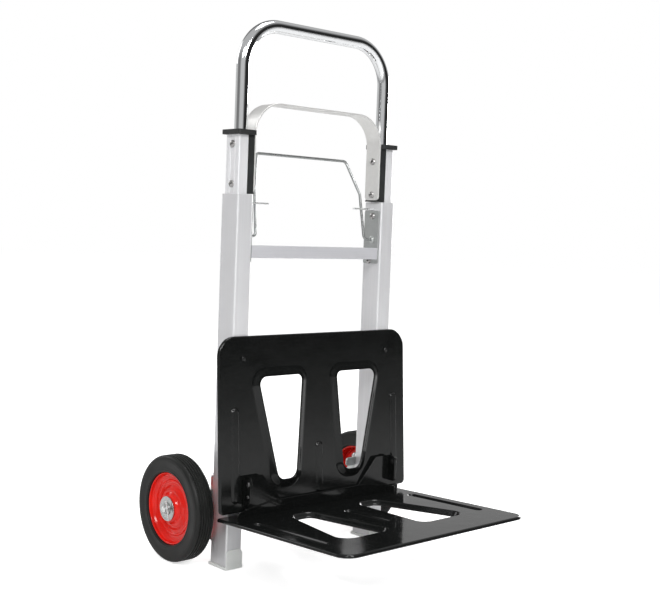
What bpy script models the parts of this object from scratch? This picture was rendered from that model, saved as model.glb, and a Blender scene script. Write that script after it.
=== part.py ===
"""Folding aluminium hand truck with a two-stage telescopic handle, standing with its toe plate folded down.

Metres, +Z up, the load on the -Y side, the truck symmetric about X = 0. Sizes are written in millimetres times MM.
Everything is drawn in truck coordinates, where Y = 0 is the front face of the two outer rails and Z = 0 is the
floor. The root empty then moves the whole truck along Y, so that the origin is the middle of its footprint.
"""

import math

import bmesh
import bpy
from mathutils import Matrix, Quaternion, Vector

MM = 0.001
SIDES = (("left", -1), ("right", 1))

# Clearances
GAP = 0.3 * MM  # between two pieces that touch
SLIDE_GAP = 0.4 * MM  # between a sliding guide and its channel
LEAN_GAP = 1.2 * MM  # between a square shoulder or head and the leaning back plate
SMALL_ROUND = 0.3 * MM  # corners that are all but sharp

# Outer rails
RAIL_X = 149.4 * MM  # centre line of a rail
RAIL_ROOM = 9.2 * MM  # wider than the handle tube that slides in it
RAIL_D = 40.5 * MM
RAIL_WALL = 1.6 * MM
RAIL_CORNER = 3.0 * MM
RAIL_TOP = 568 * MM

# Foot caps
FOOT_BASE = 4 * MM
FOOT_PROUD = 2.3 * MM  # how far a cap stands out from its rail
FOOT_CORNER = 1.6 * MM
FOOT_LIP_H = 30 * MM
FOOT_PLUG_H = 26 * MM

# Middle stage: a C-shaped extrusion, open towards the middle of the truck
STAGE_W = 16.9 * MM
STAGE_WALL = 1.6 * MM
STAGE_SIDE_PLAY = 1.0 * MM  # from its web to the inside of the rail
STAGE_FACE_PLAY = 2.4 * MM  # from its flanges to the inside of the rail
STAGE_GROOVE_W = 11 * MM
STAGE_GROOVE_DEPTH = 0.7 * MM
STAGE_EXPOSED = 88.5 * MM  # above the rail, when pushed home
STAGE_LENGTH = 308 * MM
STAGE_FOOT_H = 25 * MM
STAGE_SPIGOT_H = 45 * MM

# Collar on top of the middle stage, with the sleeve that closes its open side
COLLAR_H = 7 * MM
COLLAR_SIDE = 5.0 * MM  # beyond the stage's web
COLLAR_FACE = 5.8 * MM  # beyond the stage's flanges
COLLAR_CORNER = 3 * MM
SLEEVE_WALL = 2.4 * MM
SLEEVE_LIP = 2.0 * MM
SLEEVE_END = 1.0 * MM  # height of the sleeve's end above the rail

# Flat arch between the two collars
BAND_T = 2.6 * MM
BAND_DEPTH = 32 * MM
BAND_RISE = 141 * MM  # top of the band above the rails
BAND_RADIUS = 50 * MM
BAND_END_ROUND = 6 * MM

# Chrome handle
TUBE_R = 10 * MM
TUBE_WALL = 1.2 * MM
TUBE_INSET = 2.1 * MM  # from the rail's centre line to the tube's
HANDLE_RISE = 268 * MM  # top of the handle above the rails
HANDLE_RADIUS = 66 * MM
HANDLE_DROP = 113 * MM  # lower ends of the tubes below the rails' tops
TUBE_PLUG_H = 10 * MM
TUBE_PLUG_SPIGOT = 30 * MM

# Crossbar and its end brackets
CROSSBAR_DROP = 95 * MM  # its lower face below the rails' tops
CROSSBAR_H = 19 * MM
CROSSBAR_DEPTH = 14 * MM
CROSSBAR_SETBACK = 3 * MM
CROSSBAR_WALL = 2 * MM
BRACKET_T = 2.3 * MM
BRACKET_DROP = 14 * MM  # its upper end below the rail's top
BRACKET_FOOT = 7 * MM  # its lower end below the crossbar
BRACKET_TAB = 24 * MM
BRACKET_CORNER = 3 * MM

# Release bail and its two lock pins
WIRE_R = 2.3 * MM
BAIL_AHEAD = 2.25 * MM  # its pivots in front of the rails' middle
BAIL_RISE = 33 * MM  # its pivots above the crossbar's lower face
BAIL_FOOT = (20.8 * MM, 0, 0)  # bends of a leg: inwards from the rail, then Y and Z from the pivot
BAIL_KNEE = (23.8 * MM, 11 * MM, 74 * MM)
BAIL_TOP = (40.8 * MM, 31 * MM, 128 * MM)
BAIL_BEND = 7 * MM
BAIL_BUSH_R = 6 * MM
BAIL_BUSH_T = 3 * MM
LOCK_PIN_R = 1.4 * MM
LOCK_PIN_REACH = 45.8 * MM  # inwards from the rail

# Pressed steel plates
SHEET = 1.3 * MM
SHEET_BEND = 3.5 * MM
BEAD_SLOPE = 4 * MM
BEAD_HALF = 4 * MM  # half the width of a bead's flat crest
BEAD_ROUND = 3.7 * MM
BACK_BEAD_INSET = 28.5 * MM  # from a side edge to the centre line of an outer bead
TOE_BEAD_INSET = 25.5 * MM

# Back plate, leaning forward towards its foot
BACK_W = 389 * MM
BACK_LOW = 92 * MM
BACK_H = 264 * MM
BACK_RIM = 4.5 * MM
BACK_LEAN = math.radians(4.0)
BACK_CORNERS = (8 * MM, 8 * MM, 30 * MM, 30 * MM)
BACK_WINDOW = ((50 * MM, 41 * MM), (85 * MM, 41 * MM), (123 * MM, 201 * MM), (36 * MM, 201 * MM))
BACK_WINDOW_CORNERS = (15 * MM, 15 * MM, 12 * MM, 9 * MM)
BACK_OUTER_BEADS = (18 * MM, 154 * MM)  # from end to end, above the plate's lower edge
BACK_CENTRE_BEAD = (14 * MM, 88 * MM)
BACK_LIP_W = 14 * MM  # sloping lip round each window
BACK_LIP_RISE = 4 * MM  # towards the load
BACK_BEAD_RISE = 3 * MM
SCREW_R = 4 * MM
STUD_R = 3.1 * MM  # shoulder between rail and plate
BACK_STUD_RISE = 23 * MM  # above the plate's lower edge
BACK_SCREW_DROP = 34 * MM  # below the plate's upper edge

# Toe plate, hinged in front of the back plate
TOE_W = 373 * MM
TOE_REAR = -1.5 * MM
TOE_FRONT = -290 * MM
TOE_TOP = 83.8 * MM  # top face at its rear edge
TOE_RISE = math.radians(2.75)
TOE_RIM = 4.5 * MM
TOE_LIP_W = 8 * MM
TOE_LIP_RISE = -7 * MM  # away from the load
TOE_BEAD_RISE = -3 * MM
TOE_CORNERS = (6 * MM, 6 * MM, 22 * MM, 22 * MM)
TOE_WINDOW = ((52 * MM, 61 * MM), (86 * MM, 61 * MM), (122 * MM, 213 * MM), (38 * MM, 213 * MM))
TOE_WINDOW_CORNERS = (13 * MM, 13 * MM, 14 * MM, 10 * MM)
TOE_OUTER_BEADS = (67 * MM, 217 * MM)  # from end to end, in front of the plate's rear edge
TOE_CENTRE_BEAD = (87 * MM, 177 * MM)
TOE_FLANGE = ((165 * MM, 8 * MM), (150 * MM, 13 * MM), (100 * MM, 20.5 * MM))  # X and rise of its edge
TOE_FLANGE_ROUND = (4 * MM, 30 * MM, 60 * MM)
TOE_FLANGE_Y = -26.3 * MM  # its rear face, against the ears
EAR_BASE_W = 90.3 * MM
EAR_TOP_W = 31.8 * MM
EAR_TOP = 147 * MM
EAR_ROOT = 3 * MM  # below the toe plate's top face
TOE_PIVOT_Y = -35.5 * MM
TOE_PIVOT_DROP = 10 * MM  # below the ears' tops
TOE_PIN_R = 2.5 * MM
TOE_PIN_HEAD_R = 4.5 * MM
EAR_CORNER = 7 * MM
LUG_T = 2 * MM
LUG_FOOT_ROUND = 4 * MM
LUG_HEAD_ROUND = 6 * MM
LUG_OFFSET = 1.9 * MM  # outer face of the ear's lug beyond the rail's centre line
LUG_REACH = 5 * MM  # in front of the pin
LUG_LOW = 105 * MM
HINGE_FLANGE = 22 * MM
HINGE_FLANGE_H = 30 * MM
HINGE_FLANGE_T = 1.5 * MM
STOP_PIN_R = 3 * MM
STOP_PIN_H = 2 * MM
STOP_PIN_DROP = 19 * MM  # below the hinge pin

# Wheels and the brackets that swing them in behind the frame
WHEEL_R = 82 * MM
TYRE_W = 33 * MM
WHEEL_OFFSET = 47.1 * MM  # its middle beyond the rail's centre line
WHEEL_SETBACK = 8.5 * MM  # its tread behind the rails' front faces
RIM_R = 55.5 * MM
RIM_W = 26 * MM
AXLE_R = 5 * MM
AXLE_REACH = 23.2 * MM  # beyond the middle of the wheel
HUB_OUT = 14.2 * MM
HUB_IN = 15.5 * MM
SWING_OFFSET = 12.5 * MM  # swing pin behind the rail
SWING_PIN_R = 3.5 * MM
KNUCKLE_R = 7 * MM
MOUNT_T = 2.5 * MM
MOUNT_BELOW = 48 * MM  # its lower end below the axle
MOUNT_ABOVE = 51 * MM
MOUNT_TAB_H = 14 * MM
MOUNT_TAB_REACH = 33.4 * MM  # inwards from the rail's centre line
KNUCKLE_H = 20 * MM
ARM_T = 3 * MM
ARM_OFFSET = 23.6 * MM  # beyond the rail's centre line
WASHER_R = 19 * MM
WASHER_T = 1.6 * MM
NUT_R = 10 * MM
NUT_T = 4 * MM

# Rivets
RIVET_R = 2.2 * MM
RIVET_HEAD_R = 5.2 * MM
RIVET_HEAD_H = 2.3 * MM

# Derived places
RAIL_W = 2 * TUBE_R + RAIL_ROOM
RAIL_IN = RAIL_X - RAIL_W / 2
RAIL_OUT = RAIL_X + RAIL_W / 2
RAIL_MID_Y = RAIL_D / 2
STAGE_OUT = RAIL_OUT - RAIL_WALL - STAGE_SIDE_PLAY
STAGE_IN = STAGE_OUT - STAGE_W
STAGE_D = RAIL_D - 2 * RAIL_WALL - 2 * STAGE_FACE_PLAY
STAGE_FRONT = RAIL_MID_Y - STAGE_D / 2
STAGE_REAR = RAIL_MID_Y + STAGE_D / 2
STAGE_TOP = RAIL_TOP + STAGE_EXPOSED
STAGE_BOTTOM = STAGE_TOP - STAGE_LENGTH
COLLAR_TOP = STAGE_TOP + GAP + COLLAR_H
TUBE_X = RAIL_X - TUBE_INSET
HANDLE_TOP = RAIL_TOP + HANDLE_RISE
HANDLE_BOTTOM = RAIL_TOP - HANDLE_DROP
SLEEVE_IN = TUBE_X - TUBE_R - GAP - SLEEVE_WALL - 2.3 * MM
BAND_OUT = SLEEVE_IN - GAP
BAND_TOP = RAIL_TOP + BAND_RISE
BAND_BOTTOM = RAIL_TOP + SLEEVE_END + SLEEVE_LIP + GAP
BAND_RIVETS = (("lower", BAND_BOTTOM + 9 * MM), ("upper", BAND_BOTTOM + 64 * MM))
STAGE_RIVETS = (("lower", RAIL_TOP + 15 * MM), ("upper", STAGE_TOP - 14 * MM))
CROSSBAR_LOW = RAIL_TOP - CROSSBAR_DROP
BRACKET_OUT = RAIL_IN - GAP
BRACKET_IN = BRACKET_OUT - BRACKET_T
BRACKET_LOW = CROSSBAR_LOW - BRACKET_FOOT
BRACKET_TOP = RAIL_TOP - BRACKET_DROP
BRACKET_RIVETS = (  # name, Y and Z
    ("lower", CROSSBAR_SETBACK + CROSSBAR_DEPTH + RIVET_HEAD_R + 0.85 * MM, BRACKET_LOW + 5 * MM),
    ("upper", RAIL_MID_Y - 1.8 * MM, BRACKET_TOP - 9 * MM),
)
BAIL_PIVOT = Vector((0, RAIL_MID_Y - BAIL_AHEAD, CROSSBAR_LOW + BAIL_RISE))
LOCK_PIN_Z = BRACKET_TOP + LOCK_PIN_R + 2 * GAP
LOCK_PIN_INNER = RAIL_IN - LOCK_PIN_REACH
BACK_BEAD_X = BACK_W / 2 - BACK_BEAD_INSET
BACK_STUD_Z = BACK_LOW + BACK_STUD_RISE
BACK_SCREW_Z = BACK_LOW + BACK_H - BACK_SCREW_DROP
TOE_BEAD_X = TOE_W / 2 - TOE_BEAD_INSET
LUG_X = RAIL_X + LUG_OFFSET
EAR_INNER_LOW = LUG_X - EAR_BASE_W
EAR_INNER_TOP = LUG_X - EAR_TOP_W
TOE_PIVOT = Vector((0, TOE_PIVOT_Y, EAR_TOP - TOE_PIVOT_DROP))
HINGE_LOW = BACK_LOW + 6 * MM
WHEEL_X = RAIL_X + WHEEL_OFFSET
WHEEL_Y = WHEEL_R + WHEEL_SETBACK
WHEEL_Z = WHEEL_R
AXLE_END = WHEEL_X + AXLE_REACH
ARM_X = RAIL_X + ARM_OFFSET
MOUNT_LOW = WHEEL_Z - MOUNT_BELOW
MOUNT_TOP = WHEEL_Z + MOUNT_ABOVE
MOUNT_TAB_X = RAIL_X - MOUNT_TAB_REACH
SWING = Vector((RAIL_X, RAIL_D + SWING_OFFSET, 0))
TOE_EDGE = TOE_FRONT - TOE_RIM * math.sin(TOE_RISE)
SHIFT_Y = -(TOE_EDGE + WHEEL_Y + WHEEL_R) / 2


# ---------------------------------------------------------------- scene, materials and empties


def clear_scene():
    for item in list(bpy.data.objects):
        bpy.data.objects.remove(item, do_unlink=True)


def material(name, colour, metallic, roughness):
    made = bpy.data.materials.new(name)
    made.use_nodes = True
    shader = made.node_tree.nodes["Principled BSDF"]
    shader.inputs["Base Color"].default_value = (*colour, 1)
    shader.inputs["Metallic"].default_value = metallic
    shader.inputs["Roughness"].default_value = roughness
    return made


def empty(name, place, parent=None):
    """An empty at a place given in truck coordinates."""
    made = bpy.data.objects.new(name, None)
    bpy.context.scene.collection.objects.link(made)
    made["place"] = tuple(place)
    if parent is None:
        made.location = (place[0], place[1] + SHIFT_Y, place[2])
    else:
        made.parent = parent
        made.location = Vector(place) - Vector(parent["place"])
    return made


def add(name, mesh, paint, frame):
    """Makes an object of a mesh drawn in truck coordinates, with its origin at the empty it hangs from."""
    bmesh.ops.translate(mesh, verts=mesh.verts, vec=-Vector(frame["place"]))
    bmesh.ops.recalc_face_normals(mesh, faces=mesh.faces)
    data = bpy.data.meshes.new(name)
    mesh.to_mesh(data)
    mesh.free()
    data.materials.append(paint)
    data.shade_smooth()
    data.set_sharp_from_angle(angle=math.radians(35))
    made = bpy.data.objects.new(name, data)
    made.parent = frame
    bpy.context.scene.collection.objects.link(made)
    return made


def combine(target, mesh, operation):
    """Adds a Boolean modifier, whose helper is left out of the render."""
    frame = target.parent
    helper = add(f"{target.name}_{operation.lower()}_{len(target.modifiers)}", mesh, target.data.materials[0], frame)
    helper.hide_render = True
    helper.display_type = "WIRE"
    modifier = target.modifiers.new(operation.title(), "BOOLEAN")
    modifier.operation = operation
    modifier.solver = "EXACT"
    modifier.object = helper


# ---------------------------------------------------------------- outlines


def arc(centre, radius, start, end, steps):
    """Points on an arc, angles in radians, both ends included."""
    angles = [start + (end - start) * i / steps for i in range(steps + 1)]
    return [(centre[0] + radius * math.cos(a), centre[1] + radius * math.sin(a)) for a in angles]


def grown(corners, amount):
    """A convex counter-clockwise polygon with each side moved outwards."""
    lines = []
    for i, here in enumerate(corners):
        start = Vector(here)
        along = (Vector(corners[(i + 1) % len(corners)]) - start).normalized()
        out = Vector((along.y, -along.x))
        lines.append((start + out * amount, along))
    made = []
    for i, (point, along) in enumerate(lines):
        before, before_along = lines[i - 1]
        cross = before_along.x * along.y - before_along.y * along.x
        step = (point - before).x * along.y - (point - before).y * along.x
        made.append(tuple(before + before_along * (step / cross)))
    return made


def rounded(corners, radii, grow=0.0, steps=3):
    """A convex counter-clockwise polygon with round corners, moved outwards by `grow`."""
    corners = grown(corners, grow)
    made = []
    for i, here in enumerate(corners):
        corner = Vector(here)
        back = (Vector(corners[i - 1]) - corner).normalized()
        on = (Vector(corners[(i + 1) % len(corners)]) - corner).normalized()
        radius = max(radii[i] + grow, 0.2 * MM)
        half = back.angle(on) / 2
        centre = corner + (back + on).normalized() * (radius / math.sin(half))
        start = math.atan2(corner.y - centre.y, corner.x - centre.x)
        sweep = math.pi / 2 - half
        made += arc(centre, radius, start - sweep, start + sweep, steps)
    return made


def rectangle(x0, x1, y0, y1):
    return [(x0, y0), (x1, y0), (x1, y1), (x0, y1)]


def round_rectangle(x0, x1, y0, y1, radius, steps=3):
    return rounded(rectangle(x0, x1, y0, y1), (radius,) * 4, steps=steps)


def arch(half, bottom, top, radius, steps=10):
    """An upside-down U, from its left end to its right end."""
    left = arc((radius - half, top - radius), radius, math.pi, math.pi / 2, steps)
    right = arc((half - radius, top - radius), radius, math.pi / 2, 0, steps)
    return [(-half, bottom), *left, *right, (half, bottom)]


# ---------------------------------------------------------------- solids


def loop_of(mesh, points):
    return [mesh.verts.new(point) for point in points]


def bridge(mesh, first, second):
    count = len(first)
    for i in range(count):
        j = (i + 1) % count
        mesh.faces.new((first[i], first[j], second[j], second[i]))


def fill(mesh, loops):
    """Fills the flat area inside the first loop and outside the others."""
    edges = []
    for loop in loops:
        for i, vert in enumerate(loop):
            after = loop[(i + 1) % len(loop)]
            edges.append(mesh.edges.get((vert, after)) or mesh.edges.new((vert, after)))
    bmesh.ops.triangle_fill(mesh, use_beauty=True, edges=edges)


AXES = {
    "X": lambda a, b, h: (h, a, b),
    "Y": lambda a, b, h: (a, h, b),
    "Z": lambda a, b, h: (a, b, h),
}


def prism(outline, low, high, axis="Z", holes=()):
    """An outline and its holes, pushed along an axis. Across X it is drawn in (Y, Z), across Y in (X, Z)."""
    mesh = bmesh.new()
    place = AXES[axis]
    ends = [
        [loop_of(mesh, [place(a, b, h) for a, b in loop]) for loop in (outline, *holes)]
        for h in (low, high)
    ]
    for bottom, top in zip(*ends):
        bridge(mesh, bottom, top)
    for end in ends:
        fill(mesh, end)
    return mesh


def mirrored(mesh, side):
    """The mesh as drawn for the right side, or its mirror image for the left."""
    bmesh.ops.scale(mesh, verts=mesh.verts, vec=(side, 1, 1))
    return mesh


def lathe(profile, origin, axis, sides=24, closed=False):
    """Turns (radius, height) points about an axis through the origin."""
    mesh = bmesh.new()
    along = Vector(axis).normalized()
    across = along.orthogonal().normalized()
    if abs(along.x) > 0.5:
        across = Vector((0, 0, 1))
    third = along.cross(across)
    rings = []
    for radius, height in profile:
        centre = Vector(origin) + along * height
        if radius < 1e-7:
            rings.append([mesh.verts.new(centre)])
            continue
        turns = [math.tau * i / sides for i in range(sides)]
        rings.append(
            loop_of(mesh, [centre + (across * math.cos(a) + third * math.sin(a)) * radius for a in turns])
        )
    pairs = list(zip(rings, rings[1:]))
    if closed:
        pairs.append((rings[-1], rings[0]))
    for first, second in pairs:
        if len(first) == 1 or len(second) == 1:
            point, ring = (first[0], second) if len(first) == 1 else (second[0], first)
            for i in range(sides):
                mesh.faces.new((point, ring[i], ring[(i + 1) % sides]))
        else:
            bridge(mesh, first, second)
    return mesh


def dome(radius, height, start, steps=2):
    """Profile of a low domed head, from its rim at height `start` to its top on the axis."""
    angles = [math.pi / 2 * i / steps for i in range(steps + 1)]
    return [(radius * math.cos(a) if i < steps else 0, start + height * math.sin(a)) for i, a in enumerate(angles)]


def filleted(points, radius, steps=5):
    """A path with its inner corners rounded."""
    points = [Vector(p) for p in points]
    made = [points[0]]
    for before, corner, after in zip(points, points[1:], points[2:]):
        back = (before - corner).normalized()
        on = (after - corner).normalized()
        half = back.angle(on) / 2
        centre = corner + (back + on).normalized() * (radius / math.sin(half))
        start = corner + back * (radius / math.tan(half)) - centre
        end = corner + on * (radius / math.tan(half)) - centre
        turn = start.rotation_difference(end)
        for i in range(steps + 1):
            made.append(centre + Quaternion().slerp(turn, i / steps) @ start)
    made.append(points[-1])
    return made


def sweep(points, radius, sides, wall=0.0):
    """A round bar along a path or, with a wall, a tube that is open at both ends."""
    mesh = bmesh.new()
    points = [Vector(p) for p in points]
    tangents = []
    for i in range(len(points)):
        before = points[max(i - 1, 0)]
        after = points[min(i + 1, len(points) - 1)]
        tangents.append((after - before).normalized())
    across = tangents[0].orthogonal().normalized()
    skins = [[], []]
    radii = (radius, radius - wall) if wall else (radius,)
    for i, (point, tangent) in enumerate(zip(points, tangents)):
        if i:
            across = tangents[i - 1].rotation_difference(tangent) @ across
        third = tangent.cross(across)
        turns = [math.tau * (k + 0.5) / sides for k in range(sides)]
        for skin, r in zip(skins, radii):
            skin.append(loop_of(mesh, [point + (across * math.cos(a) + third * math.sin(a)) * r for a in turns]))
    for skin in skins:
        for first, second in zip(skin, skin[1:]):
            bridge(mesh, first, second)
    for end in (0, -1):
        if wall:
            bridge(mesh, skins[0][end], skins[1][end])
        else:
            fill(mesh, [skins[0][end]])
    return mesh


def smooth_step(s):
    return s * s * (3 - 2 * s)


def pressed_sheet(corners, radii, rim, windows, lip, beads, bead_rise, to_truck):
    """A pressed steel sheet with a turned rim, dished windows and beads.

    It is drawn flat as (u, v, w), with w = 0 on its load face and the rim towards -w. Each window and bead is
    (corners, radii), and the lip is the width and the rise of the slope round a window.
    """
    mesh = bmesh.new()

    def loop(corner_points, corner_radii, grow, w):
        return loop_of(mesh, [to_truck @ Vector((u, v, w)) for u, v in rounded(corner_points, corner_radii, grow)])

    def chain(loops):
        for first, second in zip(loops, loops[1:]):
            bridge(mesh, first, second)

    turns = [math.pi / 2 * i / 3 for i in range(4)]
    inner = SHEET_BEND - SHEET
    outer_skin = [
        loop(corners, radii, SHEET_BEND * (math.sin(a) - 1), SHEET_BEND * (math.cos(a) - 1)) for a in turns
    ]
    inner_skin = [
        loop(corners, radii, inner * math.sin(a) - SHEET_BEND, inner * math.cos(a) - SHEET_BEND) for a in turns
    ]
    chain([*outer_skin, loop(corners, radii, 0, -rim), loop(corners, radii, -SHEET, -rim), *inner_skin[::-1]])
    faces = ([outer_skin[0]], [inner_skin[0]])

    for shapes, slope, rise, steps, is_open in (
        (windows, *lip, 3, True),
        (beads, BEAD_SLOPE, bead_rise, 2, False),
    ):
        for shape_corners, shape_radii in shapes:
            skins = [
                [
                    loop(shape_corners, shape_radii, slope * (1 - i / steps), rise * smooth_step(i / steps) - t)
                    for i in range(steps + 1)
                ]
                for t in (0, SHEET)
            ]
            for face, skin in zip(faces, skins):
                chain(skin)
                face.append(skin[0])
            if is_open:
                bridge(mesh, skins[0][-1], skins[1][-1])
            else:
                fill(mesh, [skins[0][-1]])
                fill(mesh, [skins[1][-1]])

    for face in faces:
        fill(mesh, face)
    return mesh


def rivet(place, axis, grip, head_r=RIVET_HEAD_R, shank_r=RIVET_R):
    """A domed rivet: its head starts at `place` and points along the axis, and its shank runs back by `grip`."""
    profile = [(0, -grip), (shank_r, -grip), (shank_r, 0), (head_r, 0), *dome(head_r, RIVET_HEAD_H, 0.5 * MM)]
    return lathe(profile, place, axis, sides=10)


def drill(target, place, axis, radius, length, sides=12):
    """A round hole centred on a place."""
    low, high = -length / 2, length / 2
    profile = [(0, low), (radius, low), (radius, high), (0, high)]
    combine(target, lathe(profile, place, axis, sides), "DIFFERENCE")


# ---------------------------------------------------------------- frame


def rails(paint, frame):
    made = {}
    for name, side in SIDES:
        outline = round_rectangle(RAIL_IN, RAIL_OUT, 0, RAIL_D, RAIL_CORNER)
        bore = round_rectangle(
            RAIL_IN + RAIL_WALL,
            RAIL_OUT - RAIL_WALL,
            RAIL_WALL,
            RAIL_D - RAIL_WALL,
            RAIL_CORNER - RAIL_WALL,
        )
        mesh = prism(outline, FOOT_BASE + GAP, RAIL_TOP, holes=[bore])
        made[name] = add(f"rail_{name}", mirrored(mesh, side), paint, frame)
    return made


def foot_caps(paint, frame):
    for name, side in SIDES:
        proud = FOOT_PROUD
        base = prism(
            round_rectangle(RAIL_IN - proud, RAIL_OUT + proud, -proud, RAIL_D + proud, FOOT_CORNER),
            0,
            FOOT_BASE,
        )
        edge = proud - FOOT_CORNER
        lip_outline = rounded(
            rectangle(RAIL_IN - edge, RAIL_OUT + edge, FOOT_BASE / 2, FOOT_LIP_H),
            (0.5 * MM, 0.5 * MM, 8 * MM, 8 * MM),
        )
        lip = prism(lip_outline, 0.1 * MM - proud, -GAP, "Y")
        inset = RAIL_WALL + GAP
        plug = prism(
            round_rectangle(RAIL_IN + inset, RAIL_OUT - inset, inset, RAIL_D - inset, RAIL_CORNER - RAIL_WALL),
            FOOT_BASE / 2,
            FOOT_PLUG_H,
        )
        cap = add(f"foot_cap_{name}", mirrored(base, side), paint, frame)
        combine(cap, mirrored(lip, side), "UNION")
        combine(cap, mirrored(plug, side), "UNION")


def crossbar(paint, frame):
    half = BRACKET_IN - GAP
    front = CROSSBAR_SETBACK
    low = CROSSBAR_LOW
    high = CROSSBAR_LOW + CROSSBAR_H
    wall = CROSSBAR_WALL
    rear = front + CROSSBAR_DEPTH
    outline = [
        (front, low),
        (rear, low),
        (rear, low + wall),
        (front + wall, low + wall),
        (front + wall, high - wall),
        (rear, high - wall),
        (rear, high),
        (front, high),
    ]
    return add("crossbar", prism(outline, -half, half, "X"), paint, frame)


def crossbar_brackets(paint, rivet_paint, bush_paint, frame, rail):
    """Plates on the rails' inner faces that hold the crossbar's ends and the bail's pivots."""
    tab_front = CROSSBAR_SETBACK + CROSSBAR_WALL + GAP
    inset = CROSSBAR_WALL + GAP
    for name, side in SIDES:
        outline = round_rectangle(
            CROSSBAR_SETBACK,
            RAIL_D - CROSSBAR_SETBACK,
            BRACKET_LOW,
            BRACKET_TOP,
            BRACKET_CORNER,
        )
        plate = prism(outline, BRACKET_IN, BRACKET_OUT, "X")
        tab_low = CROSSBAR_LOW + inset
        tab_top = CROSSBAR_LOW + CROSSBAR_H - inset
        tab_outline = rectangle(BRACKET_IN - BRACKET_TAB, BRACKET_OUT - GAP, tab_low, tab_top)
        tab = prism(tab_outline, tab_front, tab_front + BRACKET_T, "Y")
        bracket = add(f"crossbar_bracket_{name}", mirrored(plate, side), paint, frame)
        combine(bracket, mirrored(tab, side), "UNION")
        for where, depth, height in BRACKET_RIVETS:
            place = Vector((side * RAIL_IN, depth, height))
            for target in (bracket, rail[name]):
                drill(target, place, (1, 0, 0), RIVET_R + GAP, 4 * (BRACKET_T + RAIL_WALL))
            head = Vector((side * (BRACKET_IN - GAP), depth, height))
            grip = BRACKET_T + 2 * GAP + RAIL_WALL - GAP
            add(f"bracket_rivet_{where}_{name}", rivet(head, (-side, 0, 0), grip), rivet_paint, frame)
        pivot = Vector((side * RAIL_IN, BAIL_PIVOT.y, BAIL_PIVOT.z))
        for target in (bracket, rail[name]):
            drill(target, pivot, (1, 0, 0), WIRE_R + GAP, 4 * (BRACKET_T + RAIL_WALL))
        bore = WIRE_R + GAP
        profile = [
            (bore, 0),
            (BAIL_BUSH_R, 0),
            (BAIL_BUSH_R, BAIL_BUSH_T / 3),
            (BAIL_BUSH_R * 2 / 3, BAIL_BUSH_T),
            (bore, BAIL_BUSH_T),
        ]
        origin = (side * (BRACKET_IN - GAP), BAIL_PIVOT.y, BAIL_PIVOT.z)
        add(f"bail_bush_{name}", lathe(profile, origin, (-side, 0, 0), 12, closed=True), bush_paint, frame)
        place = Vector((side * RAIL_IN, RAIL_MID_Y, LOCK_PIN_Z))
        drill(rail[name], place, (1, 0, 0), LOCK_PIN_R + GAP, 4 * RAIL_WALL)


def bail(paint, frame):
    """The wire loop that draws back the lock pins."""
    end = RAIL_IN + RAIL_WALL - GAP
    bends = ((RAIL_IN - end, 0, 0), BAIL_FOOT, BAIL_KNEE, BAIL_TOP)
    right = [(RAIL_IN - x, BAIL_PIVOT.y + y, BAIL_PIVOT.z + z) for x, y, z in bends]
    left = [(-x, y, z) for x, y, z in right]
    mesh = sweep(filleted([*left, *right[::-1]], BAIL_BEND, steps=4), WIRE_R, 8)
    return add("release_bail", mesh, paint, frame)


def lock_pins(paint, frames):
    for name, side in SIDES:
        tip = side * (RAIL_IN + RAIL_WALL - GAP)
        length = abs(tip) - LOCK_PIN_INNER
        chamfer = LOCK_PIN_R / 3
        shaft = [(LOCK_PIN_R - chamfer, 0), (LOCK_PIN_R, chamfer), (LOCK_PIN_R, length)]
        profile = [(0, 0), *shaft, (0, length)]
        mesh = lathe(profile, (tip, RAIL_MID_Y, LOCK_PIN_Z), (-side, 0, 0), 10)
        add(f"lock_pin_{name}", mesh, paint, frames[name])


def back_plate_frame():
    """Takes the flat sheet (u across, v up from its lower edge, w out of the load face) to its place."""
    top_y = -(BACK_RIM + GAP)
    along = Vector((0, math.sin(BACK_LEAN), math.cos(BACK_LEAN)))
    out = Vector((0, -math.cos(BACK_LEAN), math.sin(BACK_LEAN)))
    base = Vector((0, top_y, BACK_LOW + BACK_H)) - along * BACK_H
    return Matrix(
        (
            (1, along.x, out.x, base.x),
            (0, along.y, out.y, base.y),
            (0, along.z, out.z, base.z),
            (0, 0, 0, 1),
        )
    )


def back_face_y(height):
    """Y of the back plate's load face at a height."""
    return -(BACK_RIM + GAP) - (BACK_LOW + BACK_H - height) * math.tan(BACK_LEAN)


def both_sides(corners, radii):
    """A window or bead drawn for the right side, and its mirror image."""
    flipped = [(-u, v) for u, v in corners][::-1]
    return [(corners, radii), (flipped, radii[::-1])]


def bead_outlines(outer_x, outer_v, centre_v):
    """One bead near each side edge and one down the middle, each between two heights v."""
    outer = rectangle(outer_x - BEAD_HALF, outer_x + BEAD_HALF, *outer_v)
    centre = rectangle(-BEAD_HALF, BEAD_HALF, *centre_v)
    return [*both_sides(outer, (BEAD_ROUND,) * 4), (centre, (BEAD_ROUND,) * 4)]


def back_plate(paint, frame):
    windows = both_sides(BACK_WINDOW, BACK_WINDOW_CORNERS)
    beads = bead_outlines(BACK_BEAD_X, BACK_OUTER_BEADS, BACK_CENTRE_BEAD)
    half = BACK_W / 2
    outline = rectangle(-half, half, 0, BACK_H)
    lip = (BACK_LIP_W, BACK_LIP_RISE)
    to_truck = back_plate_frame()
    sheet = pressed_sheet(outline, BACK_CORNERS, BACK_RIM, windows, lip, beads, BACK_BEAD_RISE, to_truck)
    plate = add("back_plate", sheet, paint, frame)
    for _, side in SIDES:
        for z in (BACK_SCREW_Z, BACK_STUD_Z):
            drill(plate, (side * RAIL_X, back_face_y(z), z), (0, 1, 0), RIVET_R + GAP, 8 * SHEET)
    return plate


def hinge_flange_rear():
    """Y of the hinge bracket's face against the leaning back plate, set by the plate's lowest point there."""
    return back_face_y(HINGE_LOW) - GAP


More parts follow.
